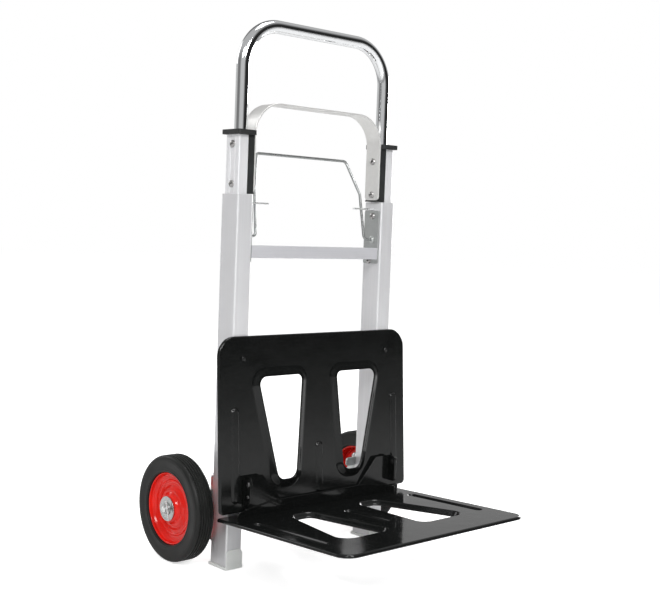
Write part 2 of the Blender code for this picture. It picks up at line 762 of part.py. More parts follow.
def plate_fasteners(paint, frame, rail):
    """A screw at the top of each side of the back plate, and a stud at its foot riveted into the hinge bracket."""
    neck = RIVET_R - GAP
    screw_face = -back_face_y(BACK_SCREW_Z)
    screw_front = screw_face + LEAN_GAP
    screw_head = [(SCREW_R, screw_front), *dome(SCREW_R, 1.1 * MM, screw_front + 0.4 * MM)]
    stud_face = -back_face_y(BACK_STUD_Z)
    stud_front = HINGE_FLANGE_T - hinge_flange_rear() - 0.1 * MM
    kinds = (
        ("plate_screw", BACK_SCREW_Z, screw_face, screw_front, SCREW_R, screw_head),
        ("plate_stud", BACK_STUD_Z, stud_face, stud_front, STUD_R, [(0, stud_front)]),
    )
    for name, side in SIDES:
        for kind, height, face, front, shoulder_r, end in kinds:
            shoulder_end = face - SHEET - LEAN_GAP
            profile = [
                (0, GAP - RAIL_WALL),
                (RIVET_R, GAP - RAIL_WALL),
                (RIVET_R, GAP),
                (shoulder_r, GAP),
                (shoulder_r, shoulder_end),
                (neck, shoulder_end),
                (neck, front),
                *end,
            ]
            place = (side * RAIL_X, 0, height)
            add(f"{kind}_{name}", lathe(profile, place, (0, -1, 0), 12), paint, frame)
            drill(rail[name], place, (0, 1, 0), RIVET_R + GAP, 4 * RAIL_WALL)


def lug_outline(rear, low, high):
    """A hinge lug seen from the side: square at the rear, round about the pin."""
    front = TOE_PIVOT.y - LUG_REACH
    corners = [(front, low), (rear, low), (rear, high), (front, high)]
    return rounded(corners, (LUG_FOOT_ROUND, SMALL_ROUND, SMALL_ROUND, LUG_HEAD_ROUND))


def hinge_brackets(paint, pin_paint, frame):
    """Angles on the back plate's face whose lugs carry the toe plate's hinge pins."""
    lug_in = LUG_X + GAP
    lug_out = lug_in + LUG_T
    low = HINGE_LOW
    high = EAR_TOP - 2 * MM
    flange_rear = hinge_flange_rear()
    for name, side in SIDES:
        lug = prism(lug_outline(flange_rear - 0.2 * MM, LUG_LOW, high), lug_in, lug_out, "X")
        bracket = add(f"hinge_bracket_{name}", mirrored(lug, side), paint, frame)
        flange = prism(
            round_rectangle(lug_out - HINGE_FLANGE, lug_out - 0.1 * MM, low, low + HINGE_FLANGE_H, 3 * MM),
            flange_rear - HINGE_FLANGE_T,
            flange_rear,
            "Y",
        )
        combine(bracket, mirrored(flange, side), "UNION")
        drill(bracket, (side * lug_in, TOE_PIVOT.y, TOE_PIVOT.z), (1, 0, 0), TOE_PIN_R + GAP, 8 * LUG_T)
        drill(bracket, (side * RAIL_X, flange_rear, BACK_STUD_Z), (0, 1, 0), RIVET_R + GAP, 8 * LUG_T)
        stop = [
            (0, -LUG_T / 2),
            (STOP_PIN_R, -LUG_T / 2),
            (STOP_PIN_R, STOP_PIN_H / 4),
            *dome(STOP_PIN_R, STOP_PIN_H * 3 / 4, STOP_PIN_H / 4 + 0.1 * MM),
        ]
        stop_place = (side * lug_out, TOE_PIVOT.y, TOE_PIVOT.z - STOP_PIN_DROP)
        combine(bracket, lathe(stop, stop_place, (side, 0, 0), 10), "UNION")
        head = Vector((side * (lug_out + GAP), TOE_PIVOT.y, TOE_PIVOT.z))
        grip = 2 * LUG_T + 3 * GAP
        peen = grip + 1.5 * MM
        profile = [
            (0, -peen),
            (TOE_PIN_R + 1 * MM, -peen),
            (TOE_PIN_R + 1 * MM, -grip),
            (TOE_PIN_R, -grip),
            (TOE_PIN_R, 0),
            (TOE_PIN_HEAD_R, 0),
            *dome(TOE_PIN_HEAD_R, 1.6 * MM, 0.8 * MM),
        ]
        add(f"toe_hinge_pin_{name}", lathe(profile, head, (side, 0, 0), 12), pin_paint, frame)


# ---------------------------------------------------------------- toe plate


def toe_top_z(depth):
    """Height of the toe plate's top face at a Y."""
    return TOE_TOP + (TOE_REAR - depth) * math.tan(TOE_RISE)


def toe_plate(paint, frame):
    along = Vector((0, -math.cos(TOE_RISE), math.sin(TOE_RISE)))
    out = Vector((0, math.sin(TOE_RISE), math.cos(TOE_RISE)))
    # u runs to -X, so that u, v and w stay right-handed with v running forwards
    to_truck = Matrix(
        (
            (-1, along.x, out.x, 0),
            (0, along.y, out.y, TOE_REAR),
            (0, along.z, out.z, TOE_TOP),
            (0, 0, 0, 1),
        )
    )
    half = TOE_W / 2
    length = (TOE_REAR - TOE_FRONT) / math.cos(TOE_RISE)
    windows = both_sides(TOE_WINDOW, TOE_WINDOW_CORNERS)
    beads = bead_outlines(TOE_BEAD_X, TOE_OUTER_BEADS, TOE_CENTRE_BEAD)
    outline = rectangle(-half, half, 0, length)
    lip = (TOE_LIP_W, TOE_LIP_RISE)
    sheet = pressed_sheet(outline, TOE_CORNERS, TOE_RIM, windows, lip, beads, TOE_BEAD_RISE, to_truck)
    plate = add("toe_plate", sheet, paint, frame)

    # An upright flange across the plate, with an ear behind each of its ends
    root = toe_top_z(TOE_FLANGE_Y) - SHEET / 2
    shoulder = TOE_FLANGE[0][0]
    edge = [(x, TOE_TOP + height) for x, height in TOE_FLANGE]
    edge += [(-x, z) for x, z in edge[::-1]]
    radii = (SMALL_ROUND, SMALL_ROUND, *TOE_FLANGE_ROUND, *TOE_FLANGE_ROUND[::-1])
    flange_outline = rounded([(-shoulder, root), (shoulder, root), *edge], radii)
    overlap = 0.1 * MM
    combine(plate, prism(flange_outline, TOE_FLANGE_Y - SHEET, TOE_FLANGE_Y + overlap, "Y"), "UNION")
    ear_rear = TOE_FLANGE_Y + SHEET
    low = TOE_TOP - EAR_ROOT
    corners = [(EAR_INNER_LOW, low), (LUG_X, low), (LUG_X, EAR_TOP), (EAR_INNER_TOP, EAR_TOP)]
    for _, side in SIDES:
        outline = rounded(corners, (1 * MM, SMALL_ROUND, SMALL_ROUND, EAR_CORNER))
        ear = prism(outline, TOE_FLANGE_Y, ear_rear, "Y")
        combine(plate, mirrored(ear, side), "UNION")
        lug = prism(lug_outline(ear_rear - SHEET / 2, LUG_LOW, EAR_TOP), LUG_X - LUG_T, LUG_X, "X")
        combine(plate, mirrored(lug, side), "UNION")
        drill(plate, (side * LUG_X, TOE_PIVOT.y, TOE_PIVOT.z), (1, 0, 0), TOE_PIN_R + GAP, 6 * LUG_T)
    return plate


# ---------------------------------------------------------------- wheels


def swing_mounts(paint, pin_paint, frame):
    """Plates on the rails' rear faces, each with two knuckles for the vertical pin of its wheel bracket."""
    rear = RAIL_D + GAP
    for name, side in SIDES:
        edge = 2 * MM
        plate = prism(
            round_rectangle(RAIL_IN + edge, RAIL_OUT - edge, MOUNT_LOW, MOUNT_TOP, 3 * MM), rear, rear + MOUNT_T, "Y"
        )
        mount = add(f"swing_mount_{name}", mirrored(plate, side), paint, frame)
        tab = prism(
            round_rectangle(MOUNT_TAB_X, RAIL_X, MOUNT_TOP - MOUNT_TAB_H, MOUNT_TOP, 5 * MM),
            rear,
            rear + MOUNT_T,
            "Y",
        )
        combine(mount, mirrored(tab, side), "UNION")
        for low in (MOUNT_LOW, MOUNT_TOP - KNUCKLE_H):
            knuckle = lathe(
                [(0, low), (KNUCKLE_R, low), (KNUCKLE_R, low + KNUCKLE_H), (0, low + KNUCKLE_H)],
                (side * SWING.x, SWING.y, 0),
                (0, 0, 1),
                16,
            )
            web = prism(
                rectangle(SWING.x - KNUCKLE_R * 0.6, SWING.x + KNUCKLE_R * 0.6, rear + MOUNT_T / 2, SWING.y),
                low + 0.5 * MM,
                low + KNUCKLE_H - 0.5 * MM,
            )
            combine(mount, knuckle, "UNION")
            combine(mount, mirrored(web, side), "UNION")
        height = MOUNT_TOP - MOUNT_LOW
        drill(mount, (side * SWING.x, SWING.y, MOUNT_LOW + height / 2), (0, 0, 1), SWING_PIN_R + GAP, height * 1.2)
        bottom = MOUNT_LOW - 4 * MM
        top = MOUNT_TOP + GAP
        profile = [
            (0, bottom),
            (SWING_PIN_R, bottom),
            (SWING_PIN_R, top),
            (6 * MM, top),
            *dome(6 * MM, 2.4 * MM, top + 1 * MM),
        ]
        add(f"swing_pin_{name}", lathe(profile, (side * SWING.x, SWING.y, 0), (0, 0, 1), 12), pin_paint, frame)


def wheel_brackets(paint, axle_paint, frames):
    """Bent steel arms that turn on the swing pins and carry the stub axles."""
    low = MOUNT_LOW + KNUCKLE_H + GAP
    high = MOUNT_TOP - KNUCKLE_H - GAP
    for name, side in SIDES:
        frame = frames[name]
        knuckle = lathe(
            [(0, low), (KNUCKLE_R, low), (KNUCKLE_R, high), (0, high)],
            (side * SWING.x, SWING.y, 0),
            (0, 0, 1),
            16,
        )
        bracket = add(f"wheel_bracket_{name}", knuckle, paint, frame)
        web = prism(
            rectangle(SWING.x + KNUCKLE_R * 0.5, ARM_X + ARM_T, SWING.y - ARM_T / 2, SWING.y + ARM_T / 2),
            low,
            high,
        )
        combine(bracket, mirrored(web, side), "UNION")
        arm_outline = rounded(
            [
                (SWING.y - ARM_T / 2, low),
                (WHEEL_Y + 4 * MM, low + 6 * MM),
                (WHEEL_Y + 17 * MM, WHEEL_Z - 8 * MM),
                (WHEEL_Y + 17 * MM, WHEEL_Z + 8 * MM),
                (WHEEL_Y + 4 * MM, high - 6 * MM),
                (SWING.y - ARM_T / 2, high),
            ],
            (0.3 * MM, 6 * MM, 8 * MM, 8 * MM, 6 * MM, 0.3 * MM),
        )
        combine(bracket, mirrored(prism(arm_outline, ARM_X, ARM_X + ARM_T, "X"), side), "UNION")
        middle = (low + high) / 2
        drill(bracket, (side * SWING.x, SWING.y, middle), (0, 0, 1), SWING_PIN_R + GAP, 2 * (high - low))
        drill(bracket, (side * ARM_X, WHEEL_Y, WHEEL_Z), (1, 0, 0), AXLE_R + GAP, 6 * ARM_T)

        origin = (0, WHEEL_Y, WHEEL_Z)
        outward = (side, 0, 0)
        head_out = ARM_X - GAP
        axle = [
            (0, head_out - 3 * MM),
            (9 * MM, head_out - 3 * MM),
            (9 * MM, head_out),
            (AXLE_R, head_out),
            (AXLE_R, AXLE_END - 1 * MM),
            (AXLE_R - 1 * MM, AXLE_END),
            (0, AXLE_END),
        ]
        add(f"stub_axle_{name}", lathe(axle, origin, outward, 12), axle_paint, frame)
        bore = AXLE_R + GAP
        washer_in = WHEEL_X + HUB_OUT + GAP
        washer_out = washer_in + WASHER_T
        washer = [(bore, washer_in), (WASHER_R, washer_in), (WASHER_R, washer_out), (bore, washer_out)]
        add(f"axle_washer_{name}", lathe(washer, origin, outward, 20, closed=True), axle_paint, frame)
        nut_in = washer_out + GAP
        nut_out = nut_in + NUT_T
        nut = [
            (bore, nut_in),
            (NUT_R, nut_in),
            (NUT_R, nut_in + 1 * MM),
            (NUT_R - 2.5 * MM, nut_out),
            (bore, nut_out),
        ]
        add(f"axle_nut_{name}", lathe(nut, origin, outward, 16, closed=True), axle_paint, frame)


def wheels(rim_paint, tyre_paint, frames):
    barrel = RIM_R - 2.5 * MM
    half = RIM_W / 2
    bore = AXLE_R + GAP
    disc = 2 * MM
    dish = [(47, 2.5), (40, 3.0), (33, 6.5), (27, 7.0), (21, 10.0)]
    outside = [(r * MM, h * MM) for r, h in dish]
    inside = [(r, h - disc) for r, h in outside[::-1]]
    rim = [
        (RIM_R, -half),
        (RIM_R, half),
        (barrel, half),
        (barrel, 4.5 * MM),
        *outside,
        (17 * MM, HUB_OUT),
        (bore, HUB_OUT),
        (bore, -HUB_IN),
        (11 * MM, -HUB_IN),
        (13 * MM, 6 * MM),
        *inside,
        (barrel, 0),
        (barrel, -half),
    ]
    tyre_half = TYRE_W / 2
    shoulder = 6 * MM
    tread = WHEEL_R
    right_side = [
        (RIM_R + GAP, tyre_half - 3 * MM),
        (RIM_R + 2.5 * MM, tyre_half - 0.8 * MM),
        (RIM_R + 6 * MM, tyre_half),
    ]
    right_side += [
        (tread - shoulder + shoulder * math.sin(a), tyre_half - shoulder + shoulder * math.cos(a))
        for a in (math.radians(45 * k) for k in range(3))
    ]
    tyre = right_side + [(r, -h) for r, h in right_side[::-1]]
    for name, side in SIDES:
        origin = (side * WHEEL_X, WHEEL_Y, WHEEL_Z)
        outward = (side, 0, 0)
        add(f"wheel_rim_{name}", lathe(rim, origin, outward, 30, closed=True), rim_paint, frames[name])
        add(f"tyre_{name}", lathe(tyre, origin, outward, 36, closed=True), tyre_paint, frames[name])


# ---------------------------------------------------------------- middle stage


def stage_outline():
    """The C-shaped section of the right stage, with a shallow groove down its web."""
    web = STAGE_OUT - STAGE_WALL
    groove = STAGE_OUT - STAGE_GROOVE_DEPTH
    half = STAGE_GROOVE_W / 2
    front, rear, mid = STAGE_FRONT, STAGE_REAR, RAIL_MID_Y
    chamfer = 1.5 * MM
    return [
        (STAGE_IN, front),
        (STAGE_OUT - chamfer, front),
        (STAGE_OUT, front + chamfer),
        (STAGE_OUT, mid - half),
        (groove, mid - half + STAGE_GROOVE_DEPTH),
        (groove, mid + half - STAGE_GROOVE_DEPTH),
        (STAGE_OUT, mid + half),
        (STAGE_OUT, rear - chamfer),
        (STAGE_OUT - chamfer, rear),
        (STAGE_IN, rear),
        (STAGE_IN, rear - STAGE_WALL),
        (web, rear - STAGE_WALL),
        (web, front + STAGE_WALL),
        (STAGE_IN, front + STAGE_WALL),
    ]


def middle_stage(metal, plastic, rivet_paint, frame):
    for name, side in SIDES:
        stage = add(
            f"stage_channel_{name}",
            mirrored(prism(stage_outline(), STAGE_BOTTOM, STAGE_TOP), side),
            metal,
            frame,
        )
        web = STAGE_OUT - STAGE_WALL
        for where, height in STAGE_RIVETS:
            place = Vector((side * STAGE_OUT, RAIL_MID_Y, height))
            drill(stage, place, (1, 0, 0), RIVET_R + GAP, 4 * STAGE_WALL)
            head = Vector((side * (STAGE_OUT + GAP), RAIL_MID_Y, height))
            add(f"stage_rivet_{where}_{name}", rivet(head, (side, 0, 0), STAGE_WALL), rivet_paint, frame)

        # The foot fills the rail and has a spigot up inside the channel
        inset = RAIL_WALL + SLIDE_GAP
        foot_top = STAGE_BOTTOM - GAP
        foot = prism(
            round_rectangle(RAIL_IN + inset, RAIL_OUT - inset, inset, RAIL_D - inset, 1.2 * MM),
            foot_top - STAGE_FOOT_H,
            foot_top,
        )
        block = add(f"stage_foot_{name}", mirrored(foot, side), plastic, frame)
        spigot = prism(
            rectangle(
                STAGE_IN + 1 * MM,
                web - GAP,
                STAGE_FRONT + STAGE_WALL + GAP,
                STAGE_REAR - STAGE_WALL - GAP,
            ),
            foot_top - 2 * MM,
            foot_top + STAGE_SPIGOT_H,
        )
        combine(block, mirrored(spigot, side), "UNION")

        # The collar sits on the channel, and its sleeve closes the channel's open side
        collar = prism(
            round_rectangle(
                SLEEVE_IN,
                STAGE_OUT + COLLAR_SIDE,
                STAGE_FRONT - COLLAR_FACE,
                STAGE_REAR + COLLAR_FACE,
                COLLAR_CORNER,
            ),
            STAGE_TOP + GAP,
            COLLAR_TOP,
        )
        cap = add(f"stage_collar_{name}", mirrored(collar, side), plastic, frame)
        sleeve_low = RAIL_TOP + SLEEVE_END
        sleeve_out = STAGE_IN - GAP
        sleeve = prism(
            [
                (SLEEVE_IN, STAGE_FRONT),
                (sleeve_out, STAGE_FRONT),
                (sleeve_out, STAGE_FRONT + SLEEVE_WALL),
                (SLEEVE_IN + SLEEVE_WALL, STAGE_FRONT + SLEEVE_WALL),
                (SLEEVE_IN + SLEEVE_WALL, STAGE_REAR - SLEEVE_WALL),
                (sleeve_out, STAGE_REAR - SLEEVE_WALL),
                (sleeve_out, STAGE_REAR),
                (SLEEVE_IN, STAGE_REAR),
            ],
            sleeve_low,
            STAGE_TOP + 2 * MM,
        )
        combine(cap, mirrored(sleeve, side), "UNION")
        lip = prism(
            rectangle(BAND_OUT - BAND_T, SLEEVE_IN + SLEEVE_WALL, STAGE_FRONT + 1 * MM, STAGE_REAR - 1 * MM),
            sleeve_low,
            sleeve_low + SLEEVE_LIP,
        )
        combine(cap, mirrored(lip, side), "UNION")
        drill(cap, (side * TUBE_X, RAIL_MID_Y, COLLAR_TOP), (0, 0, 1), TUBE_R + GAP, 4 * COLLAR_H, sides=32)
        for where, height in BAND_RIVETS:
            drill(cap, (side * SLEEVE_IN, RAIL_MID_Y, height), (1, 0, 0), RIVET_R + GAP, 4 * SLEEVE_WALL)
            head = Vector((side * (BAND_OUT - BAND_T - GAP), RAIL_MID_Y, height))
            grip = BAND_T + SLEEVE_WALL + GAP
            add(f"band_rivet_{where}_{name}", rivet(head, (-side, 0, 0), grip), rivet_paint, frame)


def band_arch(paint, frame):
    outer = arch(BAND_OUT, BAND_BOTTOM, BAND_TOP, BAND_RADIUS)
    inner = arch(BAND_OUT - BAND_T, BAND_BOTTOM, BAND_TOP - BAND_T, BAND_RADIUS - BAND_T)
    front = RAIL_MID_Y - BAND_DEPTH / 2
    mesh = prism(outer + inner[::-1], front, front + BAND_DEPTH, "Y")
    ends = [
        edge
        for edge in mesh.edges
        if all(abs(vert.co.z - BAND_BOTTOM) < 1e-6 for vert in edge.verts)
        and abs(edge.verts[0].co.y - edge.verts[1].co.y) < 1e-6
    ]
    bmesh.ops.bevel(mesh, geom=ends, offset=BAND_END_ROUND, segments=4, profile=0.5, affect="EDGES")
    band = add("band_arch", mesh, paint, frame)
    for _, side in SIDES:
        for _, height in BAND_RIVETS:
            drill(band, (side * BAND_OUT, RAIL_MID_Y, height), (1, 0, 0), RIVET_R + GAP, 4 * BAND_T)
    return band


# ---------------------------------------------------------------- handle


def handle(chrome, plastic, frame):
    path = [
        (x, RAIL_MID_Y, z) for x, z in arch(TUBE_X, HANDLE_BOTTOM, HANDLE_TOP - TUBE_R, HANDLE_RADIUS, steps=7)
    ]
    add("handle_tube", sweep(path, TUBE_R, 16, TUBE_WALL), chrome, frame)
    web = STAGE_OUT - STAGE_WALL
    inset = max(STAGE_WALL, SLEEVE_WALL) + SLIDE_GAP
    for name, side in SIDES:
        top = HANDLE_BOTTOM - GAP
        head = prism(
            rectangle(TUBE_X - TUBE_R, web - SLIDE_GAP, STAGE_FRONT + inset, STAGE_REAR - inset),
            top - TUBE_PLUG_H,
            top,
        )
        plug = add(f"tube_plug_{name}", mirrored(head, side), plastic, frame)
        radius = TUBE_R - TUBE_WALL - GAP
        profile = [(0, top - 1 * MM), (radius, top - 1 * MM), (radius, top + TUBE_PLUG_SPIGOT), (0, top + TUBE_PLUG_SPIGOT)]
        combine(plug, lathe(profile, (side * TUBE_X, RAIL_MID_Y, 0), (0, 0, 1), 16), "UNION")


# ---------------------------------------------------------------- the truck


def build():
    clear_scene()
    aluminium = material("satin_aluminium", (0.70, 0.70, 0.71), 0.9, 0.38)
    pale_aluminium = material("band_aluminium", (0.80, 0.79, 0.76), 0.7, 0.45)
    zinc = material("zinc_steel", (0.62, 0.64, 0.63), 0.9, 0.35)
    chrome = material("chrome", (0.86, 0.87, 0.88), 1.0, 0.06)
    black_steel = material("black_enamel", (0.012, 0.013, 0.013), 0.0, 0.18)
    black_plastic = material("black_plastic", (0.03, 0.032, 0.032), 0.0, 0.45)
    grey_plastic = material("pale_grey_plastic", (0.58, 0.60, 0.57), 0.0, 0.5)
    red_enamel = material("red_enamel", (0.60, 0.025, 0.015), 0.0, 0.28)
    rubber = material("rubber", (0.022, 0.023, 0.022), 0.0, 0.7)

    root = empty("hand_truck", (0, 0, 0))
    toe_frame = empty("toe_hinge_axis", TOE_PIVOT, root)
    bail_frame = empty("bail_axis", BAIL_PIVOT, root)
    stage_frame = empty("stage_slide_axis", (0, RAIL_MID_Y, RAIL_TOP), root)
    handle_frame = empty("handle_slide_axis", (0, RAIL_MID_Y, COLLAR_TOP), stage_frame)
    pin_frames = {}
    swing_frames = {}
    wheel_frames = {}
    for name, side in SIDES:
        pin_frames[name] = empty(f"lock_pin_axis_{name}", (side * RAIL_IN, RAIL_MID_Y, LOCK_PIN_Z), root)
        swing_frames[name] = empty(f"wheel_swing_axis_{name}", (side * SWING.x, SWING.y, WHEEL_Z), root)
        wheel_frames[name] = empty(
            f"wheel_axis_{name}", (side * WHEEL_X, WHEEL_Y, WHEEL_Z), swing_frames[name]
        )

    rail = rails(aluminium, root)
    foot_caps(grey_plastic, root)
    crossbar(aluminium, root)
    crossbar_brackets(zinc, zinc, zinc, root, rail)
    bail(zinc, bail_frame)
    lock_pins(zinc, pin_frames)
    back_plate(black_steel, root)
    plate_fasteners(black_steel, root, rail)
    hinge_brackets(black_steel, zinc, root)
    toe_plate(black_steel, toe_frame)
    swing_mounts(zinc, zinc, root)
    wheel_brackets(zinc, zinc, swing_frames)
    wheels(red_enamel, rubber, wheel_frames)
    middle_stage(aluminium, black_plastic, zinc, stage_frame)
    band_arch(pale_aluminium, stage_frame)
    handle(chrome, black_plastic, handle_frame)


build()
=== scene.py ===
"""Looks of a folding aluminium hand truck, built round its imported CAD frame.

Metres, +Z up, the load on the -Y side. Pieces are drawn in truck coordinates, where Y = 0 is the front face
of the outer rails and Z = 0 is the floor, and are then moved along Y to where the CAD's rails are.
"""

import math

import bmesh
import bpy
from mathutils import Matrix, Quaternion, Vector


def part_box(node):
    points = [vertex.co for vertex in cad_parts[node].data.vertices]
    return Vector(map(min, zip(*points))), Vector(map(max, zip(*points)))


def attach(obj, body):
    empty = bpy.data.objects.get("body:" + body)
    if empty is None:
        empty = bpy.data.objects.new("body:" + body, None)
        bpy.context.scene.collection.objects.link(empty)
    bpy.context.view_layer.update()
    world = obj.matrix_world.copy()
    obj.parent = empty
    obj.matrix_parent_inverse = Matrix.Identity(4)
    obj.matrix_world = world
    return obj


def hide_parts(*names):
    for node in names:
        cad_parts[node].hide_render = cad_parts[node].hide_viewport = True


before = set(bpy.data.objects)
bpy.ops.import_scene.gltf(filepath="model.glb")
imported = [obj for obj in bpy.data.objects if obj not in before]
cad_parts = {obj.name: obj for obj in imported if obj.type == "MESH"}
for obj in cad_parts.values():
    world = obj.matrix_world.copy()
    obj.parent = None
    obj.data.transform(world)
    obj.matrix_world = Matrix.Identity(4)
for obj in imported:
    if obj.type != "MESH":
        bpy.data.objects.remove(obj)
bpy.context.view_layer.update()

MM = 0.001
SIDES = (("left", -1), ("right", 1))
BEVEL_FROM = math.radians(40)

# Places read from the CAD, in truck coordinates
SHIFT = Vector((0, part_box("rail_right")[0].y, 0))


def cad_box(node):
    low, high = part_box(node)
    return low - SHIFT, high - SHIFT


RAIL_LOW, RAIL_HIGH = cad_box("rail_right")
RAIL_IN, RAIL_OUT = RAIL_LOW.x, RAIL_HIGH.x
RAIL_X = (RAIL_IN + RAIL_OUT) / 2
RAIL_D = RAIL_HIGH.y
RAIL_MID_Y = RAIL_D / 2
RAIL_TOP = RAIL_HIGH.z
RAIL_WALL = 1.6 * MM
RAIL_CORNER = 3 * MM
GAP = 0.3 * MM

FOOT_LOW, FOOT_HIGH = cad_box("foot_cap_right")
STAGE_LOW, STAGE_HIGH = cad_box("stage_channel_right")
COLLAR_LOW, COLLAR_HIGH = cad_box("stage_collar_right")
BAND_LOW, BAND_HIGH = cad_box("band_arch")
TUBE_LOW, TUBE_HIGH = cad_box("handle_tube")
BRACKET_LOW, BRACKET_HIGH = cad_box("crossbar_bracket_right")
BAR_LOW, BAR_HIGH = cad_box("crossbar")
TYRE_LOW, TYRE_HIGH = cad_box("tyre_right")
HINGE_LOW = cad_box("hinge_bracket_right")[0].z

SHEET = 1.3 * MM
SHEET_BEND = 3.5 * MM
BACK_W = 389 * MM
BACK_LOW = 92 * MM
BACK_H = 264 * MM
BACK_RIM = 4.5 * MM
BACK_LEAN = math.radians(4.0)
TOE_W = 373 * MM
TOE_REAR = -1.5 * MM
TOE_FRONT = -290 * MM
TOE_TOP = 83.8 * MM
TOE_RISE = math.radians(2.75)
TOE_RIM = 4.5 * MM
TOE_FLANGE_Y = -26.3 * MM
EAR_TOP = 147 * MM
TOE_PIVOT = Vector((0, -35.5 * MM, 137 * MM))
BEAD_HALF = 4 * MM
BEAD_ROUND = 3.7 * MM
BEAD_SLOPE = 4 * MM
BEAD_RISE = 3 * MM
LUG_X = 151.3 * MM
LUG_T = 2 * MM
LUG_REACH = 5 * MM
LUG_LOW = 105 * MM
BAIL_PIVOT = Vector((0, 18 * MM, 506 * MM))
WHEEL_X = (TYRE_LOW.x + TYRE_HIGH.x) / 2
WHEEL_Y = (TYRE_LOW.y + TYRE_HIGH.y) / 2
WHEEL_R = (TYRE_HIGH.z - TYRE_LOW.z) / 2
RIM_R = 55.5 * MM
TUBE_R = 10 * MM
AXLE_R = 5 * MM
AXLE_END = cad_box("stub_axle_right")[1].x
SWING_Y = RAIL_D + 12.5 * MM
SWING_BORE = 3.8 * MM
KNUCKLE_R = 7 * MM


# ------------ materials


def add_node(tree, kind, sources, **settings):
    """Adds a shader node. `sources` gives its sockets their numbers or the outputs that feed them."""
    made = tree.nodes.new(kind)
    for key, value in settings.items():
        setattr(made, key, value)
    for socket, source in sources.items():
        if isinstance(source, bpy.types.NodeSocket):
            tree.links.new(source, made.inputs[socket])
        else:
            made.inputs[socket].default_value = source
    return made


def ranged(tree, source, start, end, low, high):
    """Maps a value's range from start to end onto low to high, and holds it there outside."""
    sources = {"Value": source, "From Min": start, "From Max": end, "To Min": low, "To Max": high}
    return add_node(tree, "ShaderNodeMapRange", sources).outputs["Result"]


def maths(tree, operation, first, second):
    return add_node(tree, "ShaderNodeMath", {0: first, 1: second}, operation=operation).outputs["Value"]


class Finish:
    """A Principled material whose colour, roughness and bump come from procedural textures."""

    def __init__(self, name, colour, metallic, roughness, specular=0.5):
        self.material = bpy.data.materials.new(name)
        self.material.use_nodes = True
        self.tree = self.material.node_tree
        self.shader = self.tree.nodes["Principled BSDF"]
        self.roughness = roughness
        inputs = self.shader.inputs
        inputs["Base Color"].default_value = (*colour, 1)
        inputs["Metallic"].default_value = metallic
        inputs["Roughness"].default_value = roughness
        inputs["Specular IOR Level"].default_value = specular
        self.coordinates = self.node("ShaderNodeTexCoord", {}).outputs["Object"]

    def node(self, kind, sources, **settings):
        return add_node(self.tree, kind, sources, **settings)

    def link(self, source, target):
        self.tree.links.new(source, target)

    def noise(self, scale, detail=3.0, roughness=0.55, distortion=0.0):
        """Noise from 0 to 1; the scale is in waves per metre along X, Y and Z."""
        mapping = self.node("ShaderNodeMapping", {"Vector": self.coordinates, "Scale": scale})
        sources = {
            "Vector": mapping.outputs["Vector"],
            "Scale": 1.0,
            "Detail": detail,
            "Roughness": roughness,
            "Distortion": distortion,
        }
        return self.node("ShaderNodeTexNoise", sources, noise_dimensions="3D").outputs["Fac"]

    def ranged(self, source, low, high, start=0.3, end=0.7):
        return ranged(self.tree, source, start, end, low, high)

    def tinted(self, factor, other):
        """Mixes the colour so far with another, by a factor from 0 to 1."""
        base = self.shader.inputs["Base Color"]
        before = base.links[0].from_socket if base.is_linked else base.default_value
        # Socket 0 is the factor, 6 and 7 are the two colours, and output 2 is the mixed colour
        mix = self.node("ShaderNodeMix", {0: factor, 6: before, 7: (*other, 1)}, data_type="RGBA")
        self.link(mix.outputs[2], base)

    def rough(self, *sources):
        """Adds changes to the roughness."""
        total = self.roughness
        for source in sources:
            total = maths(self.tree, "ADD", source, total)
        self.link(total, self.shader.inputs["Roughness"])

    def bump(self, *layers):
        """Stacks bumps, each (height source, depth in metres)."""
        below = {}
        for source, depth in layers:
            sources = {"Strength": 1.0, "Distance": depth, "Height": source, **below}
            made = self.node("ShaderNodeBump", sources)
            below = {"Normal": made.outputs["Normal"]}
        self.link(made.outputs["Normal"], self.shader.inputs["Normal"])


def extruded_metal(name, colour, metallic, roughness, along, grain=1.0):
    """Anodised or rolled aluminium with fine lines along its length."""
    made = Finish(name, colour, metallic, roughness)
    long_way = [6.0 if axis == along else 1400.0 for axis in "XYZ"]
    wide = [2.5 if axis == along else 180.0 for axis in "XYZ"]
    lines = made.noise(long_way, detail=4.0, roughness=0.7)
    bands = made.noise(wide, detail=2.0)
    cloud = made.noise((14, 14, 14), detail=4.0)
    specks = made.noise((900, 900, 900), detail=1.0)
    darker = tuple(c * 0.86 for c in colour)
    lighter = tuple(min(1.0, c * 1.07) for c in colour)
    made.tinted(made.ranged(lines, 0.0, 0.35 * grain), darker)
    made.tinted(made.ranged(bands, 0.0, 0.5, 0.45, 0.75), lighter)
    made.tinted(made.ranged(cloud, 0.0, 0.30, 0.5, 0.8), darker)
    made.rough(made.ranged(lines, -0.05 * grain, 0.07 * grain), made.ranged(cloud, -0.03, 0.05))
    made.bump((lines, 0.000010 * grain), (specks, 0.000006))
    return made.material


